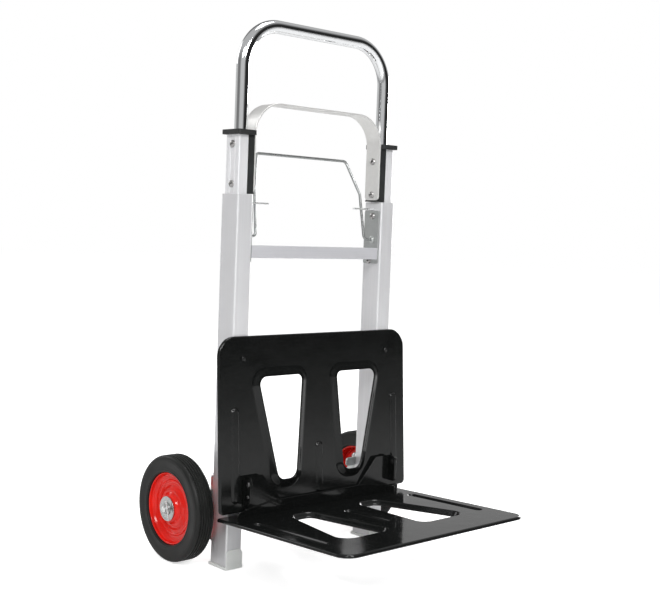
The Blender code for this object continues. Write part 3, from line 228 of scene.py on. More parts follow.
def plated_metal(name, colour, roughness, scale=1.0):
    """Zinc plate with a faint spangle and handling marks."""
    made = Finish(name, colour, 0.9, roughness)
    sources = {"Vector": made.coordinates, "Scale": 420.0 * scale}
    spangle = made.node("ShaderNodeTexVoronoi", sources, voronoi_dimensions="3D", feature="F1")
    cells = made.node("ShaderNodeSeparateColor", {"Color": spangle.outputs["Color"]})
    cloud = made.noise((70, 70, 70), detail=5.0)
    fine = made.noise((1500, 1500, 1500), detail=2.0)
    darker = tuple(c * 0.82 for c in colour)
    made.tinted(made.ranged(cells.outputs["Red"], 0.0, 0.30, 0.0, 1.0), darker)
    made.tinted(made.ranged(cloud, 0.0, 0.4, 0.5, 0.85), (0.50, 0.52, 0.50))
    made.rough(
        made.ranged(cells.outputs["Green"], -0.05, 0.05, 0.0, 1.0),
        made.ranged(cloud, -0.05, 0.10),
    )
    made.bump((fine, 0.000008), (cells.outputs["Blue"], 0.000003))
    return made.material


def chrome_plate(name):
    made = Finish(name, (0.80, 0.81, 0.82), 1.0, 0.07)
    wave = made.noise((22, 22, 9), detail=2.0)
    haze = made.noise((60, 60, 30), detail=5.0)
    polish = made.noise((1600, 1600, 40), detail=3.0)
    made.tinted(made.ranged(haze, 0.0, 0.2, 0.5, 0.8), (0.68, 0.69, 0.71))
    made.rough(made.ranged(haze, 0.0, 0.05, 0.4, 0.8), made.ranged(polish, 0.0, 0.015))
    made.bump((wave, 0.00005))
    return made.material


def enamel(name, colour, roughness, specular, deep):
    """Baked gloss enamel with slight orange peel."""
    made = Finish(name, colour, 0.0, roughness, specular=specular)
    peel = made.noise((430, 430, 430), detail=2.0)
    swell = made.noise((26, 26, 26), detail=2.0)
    cloud = made.noise((9, 9, 9), detail=4.0)
    dust = made.noise((2600, 2600, 2600), detail=1.0)
    made.tinted(made.ranged(cloud, 0.0, 0.5, 0.4, 0.75), deep)
    made.tinted(made.ranged(dust, 0.0, 0.10, 0.62, 0.75), (0.30, 0.30, 0.30))
    made.rough(made.ranged(cloud, -0.03, 0.05), made.ranged(swell, -0.02, 0.03))
    made.bump((swell, 0.00022), (peel, 0.000012))
    return made.material


def moulded_plastic(name, colour, roughness, lighter):
    made = Finish(name, colour, 0.0, roughness, specular=0.26)
    grain = made.noise((2200, 2200, 2200), detail=3.0, roughness=0.6)
    cloud = made.noise((45, 45, 45), detail=4.0)
    scuff = made.noise((60, 60, 500), detail=5.0, distortion=0.6)
    made.tinted(made.ranged(cloud, 0.0, 0.45, 0.35, 0.75), lighter)
    worn = tuple(min(1.0, c * 1.5 + 0.02) for c in colour)
    made.tinted(made.ranged(scuff, 0.0, 0.25, 0.62, 0.80), worn)
    made.rough(made.ranged(grain, -0.05, 0.06), made.ranged(cloud, -0.05, 0.05))
    made.bump((grain, 0.00004))
    return made.material


def tyre_rubber(name):
    made = Finish(name, (0.011, 0.0115, 0.011), 0.0, 0.40, specular=0.22)
    grain = made.noise((1700, 1700, 1700), detail=3.0, roughness=0.65)
    bloom = made.noise((38, 38, 38), detail=5.0)
    dust = made.noise((260, 260, 260), detail=6.0, roughness=0.7)
    made.tinted(made.ranged(bloom, 0.0, 0.5, 0.4, 0.8), (0.020, 0.021, 0.020))
    made.tinted(made.ranged(dust, 0.0, 0.12, 0.55, 0.8), (0.06, 0.06, 0.057))
    made.rough(made.ranged(bloom, -0.06, 0.12), made.ranged(grain, -0.03, 0.05))
    made.bump((dust, 0.00005), (grain, 0.00003))
    return made.material


# Slot and material of each finish
PAINTS = {
    "rail": ("satin_aluminium", extruded_metal("anodised_rail", (0.76, 0.76, 0.775), 0.50, 0.36, "Z")),
    "stage": ("satin_aluminium", extruded_metal("anodised_stage", (0.93, 0.93, 0.95), 0.45, 0.30, "Z", 1.3)),
    "crossbar": ("satin_aluminium", extruded_metal("anodised_crossbar", (0.66, 0.66, 0.69), 0.50, 0.40, "X")),
    "band": ("pale_aluminium", extruded_metal("satin_band", (0.76, 0.755, 0.74), 0.55, 0.38, "X", 0.6)),
    "zinc": ("zinc_steel", plated_metal("zinc_plate", (0.62, 0.64, 0.63), 0.34)),
    "bright_zinc": ("zinc_steel", plated_metal("bright_zinc", (0.78, 0.79, 0.79), 0.24, 1.6)),
    "bracket": ("zinc_steel", plated_metal("zinc_bracket", (0.50, 0.515, 0.51), 0.42, 0.7)),
    "dark_steel": ("zinc_steel", plated_metal("dark_steel", (0.10, 0.10, 0.10), 0.24)),
    "wire": ("zinc_steel", plated_metal("plated_wire", (0.36, 0.37, 0.37), 0.30)),
    "rivet": ("zinc_steel", plated_metal("rivet_steel", (0.40, 0.39, 0.385), 0.16, 1.6)),
    "washer": ("zinc_steel", plated_metal("washer_zinc", (0.46, 0.47, 0.465), 0.22, 0.5)),
    "chrome": ("chrome", chrome_plate("chrome_tube")),
    "black": (
        "black_enamel",
        enamel("black_enamel", (0.0045, 0.005, 0.0048), 0.11, 0.30, (0.007, 0.0075, 0.0075)),
    ),
    "red": ("red_enamel", enamel("red_enamel", (0.74, 0.017, 0.010), 0.13, 0.28, (0.62, 0.012, 0.008))),
    "plastic": (
        "black_plastic",
        moulded_plastic("black_moulding", (0.020, 0.021, 0.021), 0.42, (0.034, 0.035, 0.035)),
    ),
    "foot": ("grey_plastic", moulded_plastic("pale_moulding", (0.84, 0.86, 0.84), 0.40, (0.90, 0.92, 0.90))),
    "rubber": ("tyre_rubber", tyre_rubber("tyre_rubber")),
}


# ------------ outlines


def in_mm(*points):
    return [tuple(c * MM for c in point) for point in points]


def arc(centre, radius, start, end, steps):
    angles = [start + (end - start) * i / steps for i in range(steps + 1)]
    return [(centre[0] + radius * math.cos(a), centre[1] + radius * math.sin(a)) for a in angles]


def grown(corners, amount):
    """A convex counter-clockwise polygon with each side moved outwards."""
    lines = []
    for i, here in enumerate(corners):
        start = Vector(here)
        along = (Vector(corners[(i + 1) % len(corners)]) - start).normalized()
        lines.append((start + Vector((along.y, -along.x)) * amount, along))
    made = []
    for i, (point, along) in enumerate(lines):
        before, before_along = lines[i - 1]
        cross = before_along.x * along.y - before_along.y * along.x
        step = (point - before).x * along.y - (point - before).y * along.x
        made.append(tuple(before + before_along * (step / cross)))
    return made


def rounded(corners, radii, grow=0.0, steps=8):
    """A convex counter-clockwise polygon with round corners, moved outwards by `grow`."""
    corners = grown(corners, grow)
    made = []
    for i, here in enumerate(corners):
        corner = Vector(here)
        back = (Vector(corners[i - 1]) - corner).normalized()
        on = (Vector(corners[(i + 1) % len(corners)]) - corner).normalized()
        radius = max(radii[i] + grow, 0.2 * MM)
        half = back.angle(on) / 2
        centre = corner + (back + on).normalized() * (radius / math.sin(half))
        towards = corner - centre
        start = math.atan2(towards.y, towards.x)
        sweep_angle = math.pi / 2 - half
        made += arc(centre, radius, start - sweep_angle, start + sweep_angle, steps)
    return made


def rectangle(x0, x1, y0, y1):
    return [(x0, y0), (x1, y0), (x1, y1), (x0, y1)]


def round_rectangle(x0, x1, y0, y1, radius, steps=8):
    return rounded(rectangle(x0, x1, y0, y1), (radius,) * 4, steps=steps)


def channel(back, open_end, y0, y1, wall):
    """A C-shaped section with its web at `back`."""
    web = back + wall
    return [
        (back, y0),
        (open_end, y0),
        (open_end, y0 + wall),
        (web, y0 + wall),
        (web, y1 - wall),
        (open_end, y1 - wall),
        (open_end, y1),
        (back, y1),
    ]


def circle(centre, radius, steps=64):
    return arc(centre, radius, 0, math.tau * (steps - 1) / steps, steps - 1)


def arch(half, bottom, top, radius, steps=32):
    left = arc((radius - half, top - radius), radius, math.pi, math.pi / 2, steps)
    right = arc((half - radius, top - radius), radius, math.pi / 2, 0, steps)
    return [(-half, bottom), *left, *right, (half, bottom)]


def filleted(points, radius, steps=8):
    """A path in two or three dimensions with its inner corners rounded, as far as its segments allow."""
    points = [Vector(p).to_3d() for p in points]
    made = [points[0]]
    for before, corner, after in zip(points, points[1:], points[2:]):
        back = before - corner
        on = after - corner
        half = back.angle(on) / 2
        if half > math.radians(88):
            made.append(corner)
            continue
        reach = min(radius / math.tan(half), 0.45 * back.length, 0.45 * on.length)
        here = reach * math.tan(half)
        back.normalize()
        on.normalize()
        centre = corner + (back + on).normalized() * (here / math.sin(half))
        start = corner + back * reach - centre
        end = corner + on * reach - centre
        turn = start.rotation_difference(end)
        for i in range(steps + 1):
            made.append(centre + Quaternion().slerp(turn, i / steps) @ start)
    made.append(points[-1])
    return made


def soft(profile, radius, steps=4):
    """A lathe profile with its corners rounded."""
    return [(p.x, p.y) for p in filleted(profile, radius, steps)]


# ------------ solids


AXES = {
    "X": lambda a, b, h: (h, a, b),
    "Y": lambda a, b, h: (a, h, b),
    "Z": lambda a, b, h: (a, b, h),
}


def loop_of(mesh, points):
    return [mesh.verts.new(point) for point in points]


def ring_of(mesh, centre, across, third, radius, sides):
    """A circle of vertices in the plane of two unit vectors."""
    turns = [math.tau * i / sides for i in range(sides)]
    return loop_of(mesh, [centre + (across * math.cos(a) + third * math.sin(a)) * radius for a in turns])


def bridge(mesh, first, second):
    count = len(first)
    for i in range(count):
        j = (i + 1) % count
        mesh.faces.new((first[i], first[j], second[j], second[i]))


def fill(mesh, loops):
    """Fills the flat area inside the first loop and outside the others."""
    if len(loops) == 1:
        mesh.faces.new(loops[0])
        return
    edges = []
    for loop in loops:
        for i, vert in enumerate(loop):
            after = loop[(i + 1) % len(loop)]
            edges.append(mesh.edges.get((vert, after)) or mesh.edges.new((vert, after)))
    bmesh.ops.triangle_fill(mesh, use_beauty=True, edges=edges)


def prism(mesh, outline, low, high, axis="Z", holes=()):
    """Adds an outline and its holes, pushed along an axis."""
    place = AXES[axis]
    ends = [
        [loop_of(mesh, [place(a, b, h) for a, b in loop]) for loop in (outline, *holes)]
        for h in (low, high)
    ]
    for bottom, top in zip(*ends):
        bridge(mesh, bottom, top)
    for end in ends:
        fill(mesh, end)


def lathe(mesh, profile, origin, axis, sides=48, closed=False):
    """Adds (radius, height) points turned about an axis through the origin."""
    along = Vector(axis).normalized()
    across = Vector((0, 0, 1)) if abs(along.z) < 0.5 else Vector((1, 0, 0))
    across = (across - along * across.dot(along)).normalized()
    third = along.cross(across)
    rings = []
    for radius, height in profile:
        centre = Vector(origin) + along * height
        if radius < 1e-7:
            rings.append([mesh.verts.new(centre)])
            continue
        rings.append(ring_of(mesh, centre, across, third, radius, sides))
    pairs = list(zip(rings, rings[1:]))
    if closed:
        pairs.append((rings[-1], rings[0]))
    for first, second in pairs:
        if len(first) == 1 or len(second) == 1:
            point, ring = (first[0], second) if len(first) == 1 else (second[0], first)
            for i in range(sides):
                mesh.faces.new((point, ring[i], ring[(i + 1) % sides]))
        else:
            bridge(mesh, first, second)


def sweep(mesh, points, radius, sides, wall=0.0):
    """Adds a round bar along a path or, with a wall, a tube."""
    points = [Vector(p) for p in points]
    last = len(points) - 1
    tangents = [(points[min(i + 1, last)] - points[max(i - 1, 0)]).normalized() for i in range(last + 1)]
    across = tangents[0].orthogonal().normalized()
    skins = [[], []] if wall else [[]]
    for i, (point, tangent) in enumerate(zip(points, tangents)):
        if i:
            across = tangents[i - 1].rotation_difference(tangent) @ across
        third = tangent.cross(across)
        for skin, skin_radius in zip(skins, (radius, radius - wall)):
            skin.append(ring_of(mesh, point, across, third, skin_radius, sides))
    for skin in skins:
        for first, second in zip(skin, skin[1:]):
            bridge(mesh, first, second)
    for end in (0, -1):
        if wall:
            bridge(mesh, skins[0][end], skins[1][end])
        else:
            fill(mesh, [skins[0][end]])


def smooth_step(s):
    return s * s * (3 - 2 * s)


def pressed_sheet(mesh, corners, radii, rim, windows, lip, beads, bead_rise, to_truck):
    """Adds a pressed steel sheet with a turned rim, windows with a lip (slope, rise) and beads."""

    def loop(corner_points, corner_radii, grow, w):
        flat = rounded(corner_points, corner_radii, grow, steps=10)
        return loop_of(mesh, [to_truck @ Vector((u, v, w)) for u, v in flat])

    def chain(loops):
        for first, second in zip(loops, loops[1:]):
            bridge(mesh, first, second)

    turns = [math.pi / 2 * i / 7 for i in range(8)]
    outer_skin, inner_skin = (
        [loop(corners, radii, r * math.sin(a) - SHEET_BEND, r * math.cos(a) - SHEET_BEND) for a in turns]
        for r in (SHEET_BEND, SHEET_BEND - SHEET)
    )
    chain([*outer_skin, loop(corners, radii, 0, -rim), loop(corners, radii, -SHEET, -rim), *inner_skin[::-1]])
    faces = ([outer_skin[0]], [inner_skin[0]])
    for shapes, slope, rise, steps, is_open in (
        (windows, *lip, 12, True),
        (beads, BEAD_SLOPE, bead_rise, 8, False),
    ):
        for shape_corners, shape_radii in shapes:
            skins = [
                [
                    loop(shape_corners, shape_radii, slope * (1 - s), rise * smooth_step(s) - depth)
                    for s in (i / steps for i in range(steps + 1))
                ]
                for depth in (0, SHEET)
            ]
            for face, skin in zip(faces, skins):
                chain(skin)
                face.append(skin[0])
            if is_open:
                bridge(mesh, skins[0][-1], skins[1][-1])
            else:
                for skin in skins:
                    fill(mesh, [skin[-1]])
    for face in faces:
        fill(mesh, face)


def mirrored(mesh, side):
    bmesh.ops.scale(mesh, verts=mesh.verts, vec=(side, 1, 1))


def piece(name, mesh, paint, body, nodes, edge=0.0, segments=2, sharp=35):
    """Makes an object of the mesh, that rides a body and stands for CAD nodes."""
    slot, material = PAINTS[paint]
    bmesh.ops.translate(mesh, verts=mesh.verts, vec=SHIFT)
    bmesh.ops.recalc_face_normals(mesh, faces=mesh.faces)
    data = bpy.data.meshes.new(name)
    mesh.to_mesh(data)
    mesh.free()
    data.materials.append(material)
    data.shade_smooth()
    data.set_sharp_from_angle(angle=math.radians(sharp))
    made = bpy.data.objects.new(name, data)
    bpy.context.scene.collection.objects.link(made)
    if edge:
        bevel = made.modifiers.new("Edges", "BEVEL")
        bevel.width = edge
        bevel.segments = segments
        bevel.limit_method = "ANGLE"
        bevel.angle_limit = BEVEL_FROM
    weighted = made.modifiers.new("Normals", "WEIGHTED_NORMAL")
    weighted.keep_sharp = True
    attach(made, body)
    if nodes:
        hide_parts(*nodes)


def turned(name, profile, radius, origin, axis, sides, paint, body, nodes, steps=4):
    """Makes a piece turned from a profile whose corners are rounded by a radius."""
    mesh = bmesh.new()
    lathe(mesh, soft(profile, radius, steps), origin, axis, sides)
    piece(name, mesh, paint, body, nodes)


# ------------ frame


def rails_and_feet():
    for name, side in SIDES:
        mesh = bmesh.new()
        outline = round_rectangle(RAIL_IN, RAIL_OUT, 0, RAIL_D, RAIL_CORNER)
        wall = RAIL_WALL
        bore = round_rectangle(RAIL_IN + wall, RAIL_OUT - wall, wall, RAIL_D - wall, RAIL_CORNER - wall)
        prism(mesh, outline, RAIL_LOW.z, RAIL_TOP, holes=[bore])
        mirrored(mesh, side)
        piece(f"rail_extrusion_{name}", mesh, "rail", "frame", [f"rail_{name}"], edge=0.35 * MM)

        mesh = bmesh.new()
        proud = RAIL_IN - FOOT_LOW.x
        base_h = RAIL_LOW.z - GAP
        base = round_rectangle(RAIL_IN - proud, RAIL_OUT + proud, -proud, RAIL_D + proud, 2.4 * MM)
        prism(mesh, base, 0, base_h)
        lip = rounded(
            rectangle(RAIL_IN - 0.4 * MM, RAIL_OUT + 0.4 * MM, base_h / 2, FOOT_HIGH.z),
            (0.5 * MM, 0.5 * MM, 8 * MM, 8 * MM),
        )
        prism(mesh, lip, 0.1 * MM - proud, -GAP, "Y")
        inset = RAIL_WALL + GAP
        plug = round_rectangle(RAIL_IN + inset, RAIL_OUT - inset, inset, RAIL_D - inset, 1.4 * MM)
        prism(mesh, plug, base_h / 2, FOOT_HIGH.z - 4 * MM)
        mirrored(mesh, side)
        piece(f"foot_shoe_{name}", mesh, "foot", "frame", [f"foot_cap_{name}"], edge=0.6 * MM)


def crossbar_and_bail():
    wall = 2 * MM
    mesh = bmesh.new()
    front, low, high = BAR_LOW.y, BAR_LOW.z, BAR_HIGH.z
    prism(mesh, channel(front, BAR_HIGH.y, low, high, wall), BAR_LOW.x, BAR_HIGH.x, "X")
    piece("crossbar_channel", mesh, "crossbar", "frame", ["crossbar"], edge=0.7 * MM, segments=3)

    thick = 2.3 * MM
    for name, side in SIDES:
        mesh = bmesh.new()
        out = BRACKET_HIGH.x
        plate = round_rectangle(BRACKET_LOW.y, BRACKET_HIGH.y, BRACKET_LOW.z, BRACKET_HIGH.z, 3 * MM)
        prism(mesh, plate, out - thick, out, "X")
        tab_front = front + wall + GAP
        tab = rectangle(BRACKET_LOW.x, out - GAP, low + wall + GAP, high - wall - GAP)
        prism(mesh, tab, tab_front, tab_front + thick, "Y")
        mirrored(mesh, side)
        piece(f"bracket_plate_{name}", mesh, "bracket", "frame", [f"crossbar_bracket_{name}"], edge=0.4 * MM)
        mesh = bmesh.new()
        origin = (side * (out - thick - GAP), BAIL_PIVOT.y, BAIL_PIVOT.z)
        profile = in_mm((2.6, 0), (6, 0), (6, 1), (4.2, 1.4), (4, 3), (2.6, 3))
        lathe(mesh, profile, origin, (-side, 0, 0), closed=True)
        piece(f"bail_ferrule_{name}", mesh, "zinc", "frame", [f"bail_bush_{name}"], edge=0.2 * MM)

    end = RAIL_IN + RAIL_WALL - GAP
    bends = [(end, 0, 0), *in_mm((114, 0, 0), (111, 11, 74), (94, 31, 128))]
    right = [(x, BAIL_PIVOT.y + y, BAIL_PIVOT.z + z) for x, y, z in bends]
    left = [(-x, y, z) for x, y, z in right]
    mesh = bmesh.new()
    sweep(mesh, filleted([*left, *right[::-1]], 7 * MM, steps=10), 2.25 * MM, 20)
    piece("bail_wire", mesh, "wire", "bail", ["release_bail"])
    for name, side in SIDES:
        low, high = cad_box(f"lock_pin_{name}")
        tip = high.x if side > 0 else low.x
        length = high.x - low.x
        radius = (high.z - low.z) / 2
        profile = [(0, 0), (radius, 0), (radius, length), (0, length)]
        origin = (tip, RAIL_MID_Y, (low.z + high.z) / 2)
        body, node = f"lock_{name}", f"lock_pin_{name}"
        turned(f"latch_pin_{name}", profile, 0.5 * MM, origin, (-side, 0, 0), 24, "bright_zinc", body, [node])


def rivets():
    """Blind rivets. Heights are from the crown, and the mandrel is sunk into it."""
    dome = in_mm((0, -1.3), (1.6, -1.3), (1.8, -0.2), (2.3, 0), (3.9, -0.5), (5.1, -1.45), (5.6, -2.4))
    head_h = 2.9 * MM
    shank_r = 2.2 * MM
    head = [*dome, (dome[-1][0], -head_h), (shank_r, -head_h)]
    mandrel = in_mm((0, -0.5), (0.9, -0.6), (1.3, -0.9), (1.3, -1.5), (0, -1.5))
    # Node name, body, and 1 for heads that face away from the middle of the truck
    kinds = (
        ("bracket_rivet", "frame", -1),
        ("stage_rivet", "middle_stage", 1),
        ("band_rivet", "middle_stage", -1),
    )
    for stem, body, outward in kinds:
        for where in ("lower", "upper"):
            for name, side in SIDES:
                node = f"{stem}_{where}_{name}"
                low, high = cad_box(node)
                along = side * outward
                length = high.x - low.x
                crown = (high.x if along > 0 else low.x, (low.y + high.y) / 2, (low.z + high.z) / 2)
                axis = (along, 0, 0)
                profile = [*head, (shank_r, -length), (0, -length)]
                head_name = f"{stem}_{where}_head_{name}"
                turned(head_name, profile, 0.25 * MM, crown, axis, 32, "rivet", body, [node], steps=3)
                mandrel_name = f"{stem}_{where}_mandrel_{name}"
                turned(mandrel_name, mandrel, 0.15 * MM, crown, axis, 20, "dark_steel", body, [], steps=2)


# ------------ plates


def both_sides(corners, radii):
    """An outline and its mirror image."""
    flipped = [(-u, v) for u, v in corners][::-1]
    return [(corners, radii), (flipped, radii[::-1])]


def bead_outlines(outer_x, outer_v, centre_v):
    """One bead near each edge and one in the middle, each from end to end of a span along the sheet."""
    outer = rectangle(outer_x - BEAD_HALF, outer_x + BEAD_HALF, *outer_v)
    centre = rectangle(-BEAD_HALF, BEAD_HALF, *centre_v)
    radii = (BEAD_ROUND,) * 4
    return [*both_sides(outer, radii), (centre, radii)]


def columns(x_axis, y_axis, z_axis, origin):
    """The matrix that takes the three axes and zero to these vectors."""
    return Matrix([*zip(x_axis, y_axis, z_axis, origin), (0, 0, 0, 1)])


def back_face_y(height):
    """Where the back plate's front face is at a height above the floor."""
    return -(BACK_RIM + GAP) - (BACK_LOW + BACK_H - height) * math.tan(BACK_LEAN)


def back_plate():
    along = Vector((0, math.sin(BACK_LEAN), math.cos(BACK_LEAN)))
    out = Vector((0, -math.cos(BACK_LEAN), math.sin(BACK_LEAN)))
    base = Vector((0, -(BACK_RIM + GAP), BACK_LOW + BACK_H)) - along * BACK_H
    to_truck = columns((1, 0, 0), along, out, base)
    window = in_mm((50, 41), (85, 41), (123, 201), (36, 201))
    windows = both_sides(window, (15 * MM, 15 * MM, 12 * MM, 9 * MM))
    beads = bead_outlines(166 * MM, (18 * MM, 154 * MM), (14 * MM, 88 * MM))
    corners = rectangle(-BACK_W / 2, BACK_W / 2, 0, BACK_H)
    radii = (8 * MM, 8 * MM, 30 * MM, 30 * MM)
    lip = (14 * MM, 4 * MM)
    mesh = bmesh.new()
    pressed_sheet(mesh, corners, radii, BACK_RIM, windows, lip, beads, BEAD_RISE, to_truck)
    piece("back_pressing", mesh, "black", "frame", ["back_plate"], sharp=40)


def lug(mesh, inner_x, outer_x, rear, low, high):
    """Adds an upright ear that a hinge pin goes through."""
    front = TOE_PIVOT.y - LUG_REACH
    corners = [(front, low), (rear, low), (rear, high), (front, high)]
    outline = rounded(corners, (4 * MM, 0.3 * MM, 0.3 * MM, 6 * MM))
    prism(mesh, outline, inner_x, outer_x, "X")


def toe_plate():
    along = Vector((0, -math.cos(TOE_RISE), math.sin(TOE_RISE)))
    out = Vector((0, math.sin(TOE_RISE), math.cos(TOE_RISE)))
    to_truck = columns((-1, 0, 0), along, out, (0, TOE_REAR, TOE_TOP))
    length = (TOE_REAR - TOE_FRONT) / math.cos(TOE_RISE)
    window = in_mm((52, 61), (86, 61), (122, 213), (38, 213))
    windows = both_sides(window, (13 * MM, 13 * MM, 14 * MM, 10 * MM))
    beads = bead_outlines(161 * MM, (67 * MM, 217 * MM), (87 * MM, 177 * MM))
    corners = rectangle(-TOE_W / 2, TOE_W / 2, 0, length)
    radii = (6 * MM, 6 * MM, 22 * MM, 22 * MM)
    lip = (8 * MM, -7 * MM)
    mesh = bmesh.new()
    pressed_sheet(mesh, corners, radii, TOE_RIM, windows, lip, beads, -BEAD_RISE, to_truck)
    piece("toe_pressing", mesh, "black", "toe", ["toe_plate"], sharp=40)

    # The upright flange across the plate, with an ear behind each of its ends
    root = TOE_TOP + (TOE_REAR - TOE_FLANGE_Y) * math.tan(TOE_RISE) - SHEET / 2
    edge = [(x, TOE_TOP + z) for x, z in in_mm((165, 8), (150, 13), (100, 20.5))]
    edge += [(-x, z) for x, z in edge[::-1]]
    shoulder = edge[0][0]
    radii = (0.3 * MM, 0.3 * MM, 4 * MM, 30 * MM, 60 * MM, 60 * MM, 30 * MM, 4 * MM)
    mesh = bmesh.new()
    flange = rounded([(-shoulder, root), (shoulder, root), *edge], radii, steps=16)
    prism(mesh, flange, TOE_FLANGE_Y - SHEET, TOE_FLANGE_Y - 0.02 * MM, "Y")
    piece("toe_flange", mesh, "black", "toe", [], edge=0.5 * MM, segments=3)
    roll = [(x, TOE_FLANGE_Y - SHEET / 2, z - 0.6 * MM) for x, z in flange if z > root + 1 * MM]
    mesh = bmesh.new()
    sweep(mesh, roll, 1.1 * MM, 16)
    piece("toe_flange_roll", mesh, "black", "toe", [])
    low = TOE_TOP - 3 * MM
    ear_rear = TOE_FLANGE_Y + SHEET
    for name, side in SIDES:
        mesh = bmesh.new()
        ear = rounded(
            [(LUG_X - 90.3 * MM, low), (LUG_X, low), (LUG_X, EAR_TOP), (LUG_X - 31.8 * MM, EAR_TOP)],
            (1 * MM, 0.3 * MM, 1.5 * MM, 7 * MM),
        )
        prism(mesh, ear, TOE_FLANGE_Y, ear_rear, "Y")
        lug(mesh, LUG_X - LUG_T, LUG_X, ear_rear - SHEET / 2, LUG_LOW, EAR_TOP)
        mirrored(mesh, side)
        piece(f"toe_ear_{name}", mesh, "black", "toe", [], edge=0.6 * MM, segments=3)


def hinges():
    """The toe hinges' halves on the frame, with their pins, and the back plate's fixings."""
    lug_in = LUG_X + GAP
    lug_out = lug_in + LUG_T
    for name, side in SIDES:
        mesh = bmesh.new()
        flange_rear = back_face_y(HINGE_LOW) - GAP
        lug(mesh, lug_in, lug_out, flange_rear - 0.2 * MM, LUG_LOW, EAR_TOP - 2 * MM)
        flange_top = HINGE_LOW + 30 * MM
        flange = round_rectangle(lug_out - 22 * MM, lug_out - 0.1 * MM, HINGE_LOW, flange_top, 3 * MM)
        prism(mesh, flange, flange_rear - 1.5 * MM, flange_rear, "Y")
        mirrored(mesh, side)
        piece(f"hinge_angle_{name}", mesh, "black", "frame", [f"hinge_bracket_{name}"], edge=0.5 * MM)
        axis = (side, 0, 0)
        stop = in_mm((0, -1), (3, -1), (3, 0.8), (2.1, 1.7), (0, 2))
        place = (side * lug_out, TOE_PIVOT.y, TOE_PIVOT.z - 19 * MM)
        turned(f"stop_pin_{name}", stop, 0.5 * MM, place, axis, 32, "dark_steel", "frame", [])
        grip = 2 * LUG_T + 3 * GAP
        pin_r, clench_r = 2.5 * MM, 3.5 * MM
        profile = [
            (0, -grip - 1.5 * MM),
            (clench_r, -grip - 1.5 * MM),
            (clench_r, -grip),
            (pin_r, -grip),
            (pin_r, 0),
            *in_mm((4.5, 0), (4.5, 0.8), (3.7, 1.7), (2.2, 2.25), (0, 2.4)),
        ]
        place = (side * (lug_out + GAP), TOE_PIVOT.y, TOE_PIVOT.z)
        node = f"toe_hinge_pin_{name}"
        turned(f"hinge_pivot_{name}", profile, 0.5 * MM, place, axis, 40, "dark_steel", "frame", [node])
        screws_and_studs(name)


def screws_and_studs(name):
    """The back plate's fixings on a rail: a screw with a head and a stud with a plain end."""
    neck_r = 1.9 * MM
    for stem, shoulder_r in (("plate_screw", 4 * MM), ("plate_stud", 3.1 * MM)):
        node = f"{stem}_{name}"
        low, high = cad_box(node)
        place = ((low.x + high.x) / 2, 0, (low.z + high.z) / 2)
        crown = -low.y
        shoulder_end = -back_face_y(place[2]) - SHEET - 1.2 * MM
        end = [(neck_r, crown - 0.3 * MM), (1.6 * MM, crown), (0, crown)]
        if stem == "plate_screw":
            head_r = 4 * MM
            front = crown - 1.5 * MM
            end = [
                (neck_r, front),
                (head_r, front),
                (head_r, front + 0.5 * MM),
                (head_r * 0.72, front + 1.3 * MM),
                (0, crown),
            ]
        profile = [
            (0, -high.y),
            (2.2 * MM, -high.y),
            (2.2 * MM, GAP),
            (shoulder_r, GAP),
            (shoulder_r, shoulder_end),
            (neck_r, shoulder_end),
            *end,
        ]
        turned(f"{stem}_turned_{name}", profile, 0.3 * MM, place, (0, -1, 0), 32, "black", "frame", [node])


# ------------ wheels


def knuckle(mesh, low, high):
    """Adds the round eye that the right swing pin goes through."""
    eye = [(SWING_BORE, low), (KNUCKLE_R, low), (KNUCKLE_R, high), (SWING_BORE, high)]
    lathe(mesh, eye, (RAIL_X, SWING_Y, 0), (0, 0, 1), 48, closed=True)


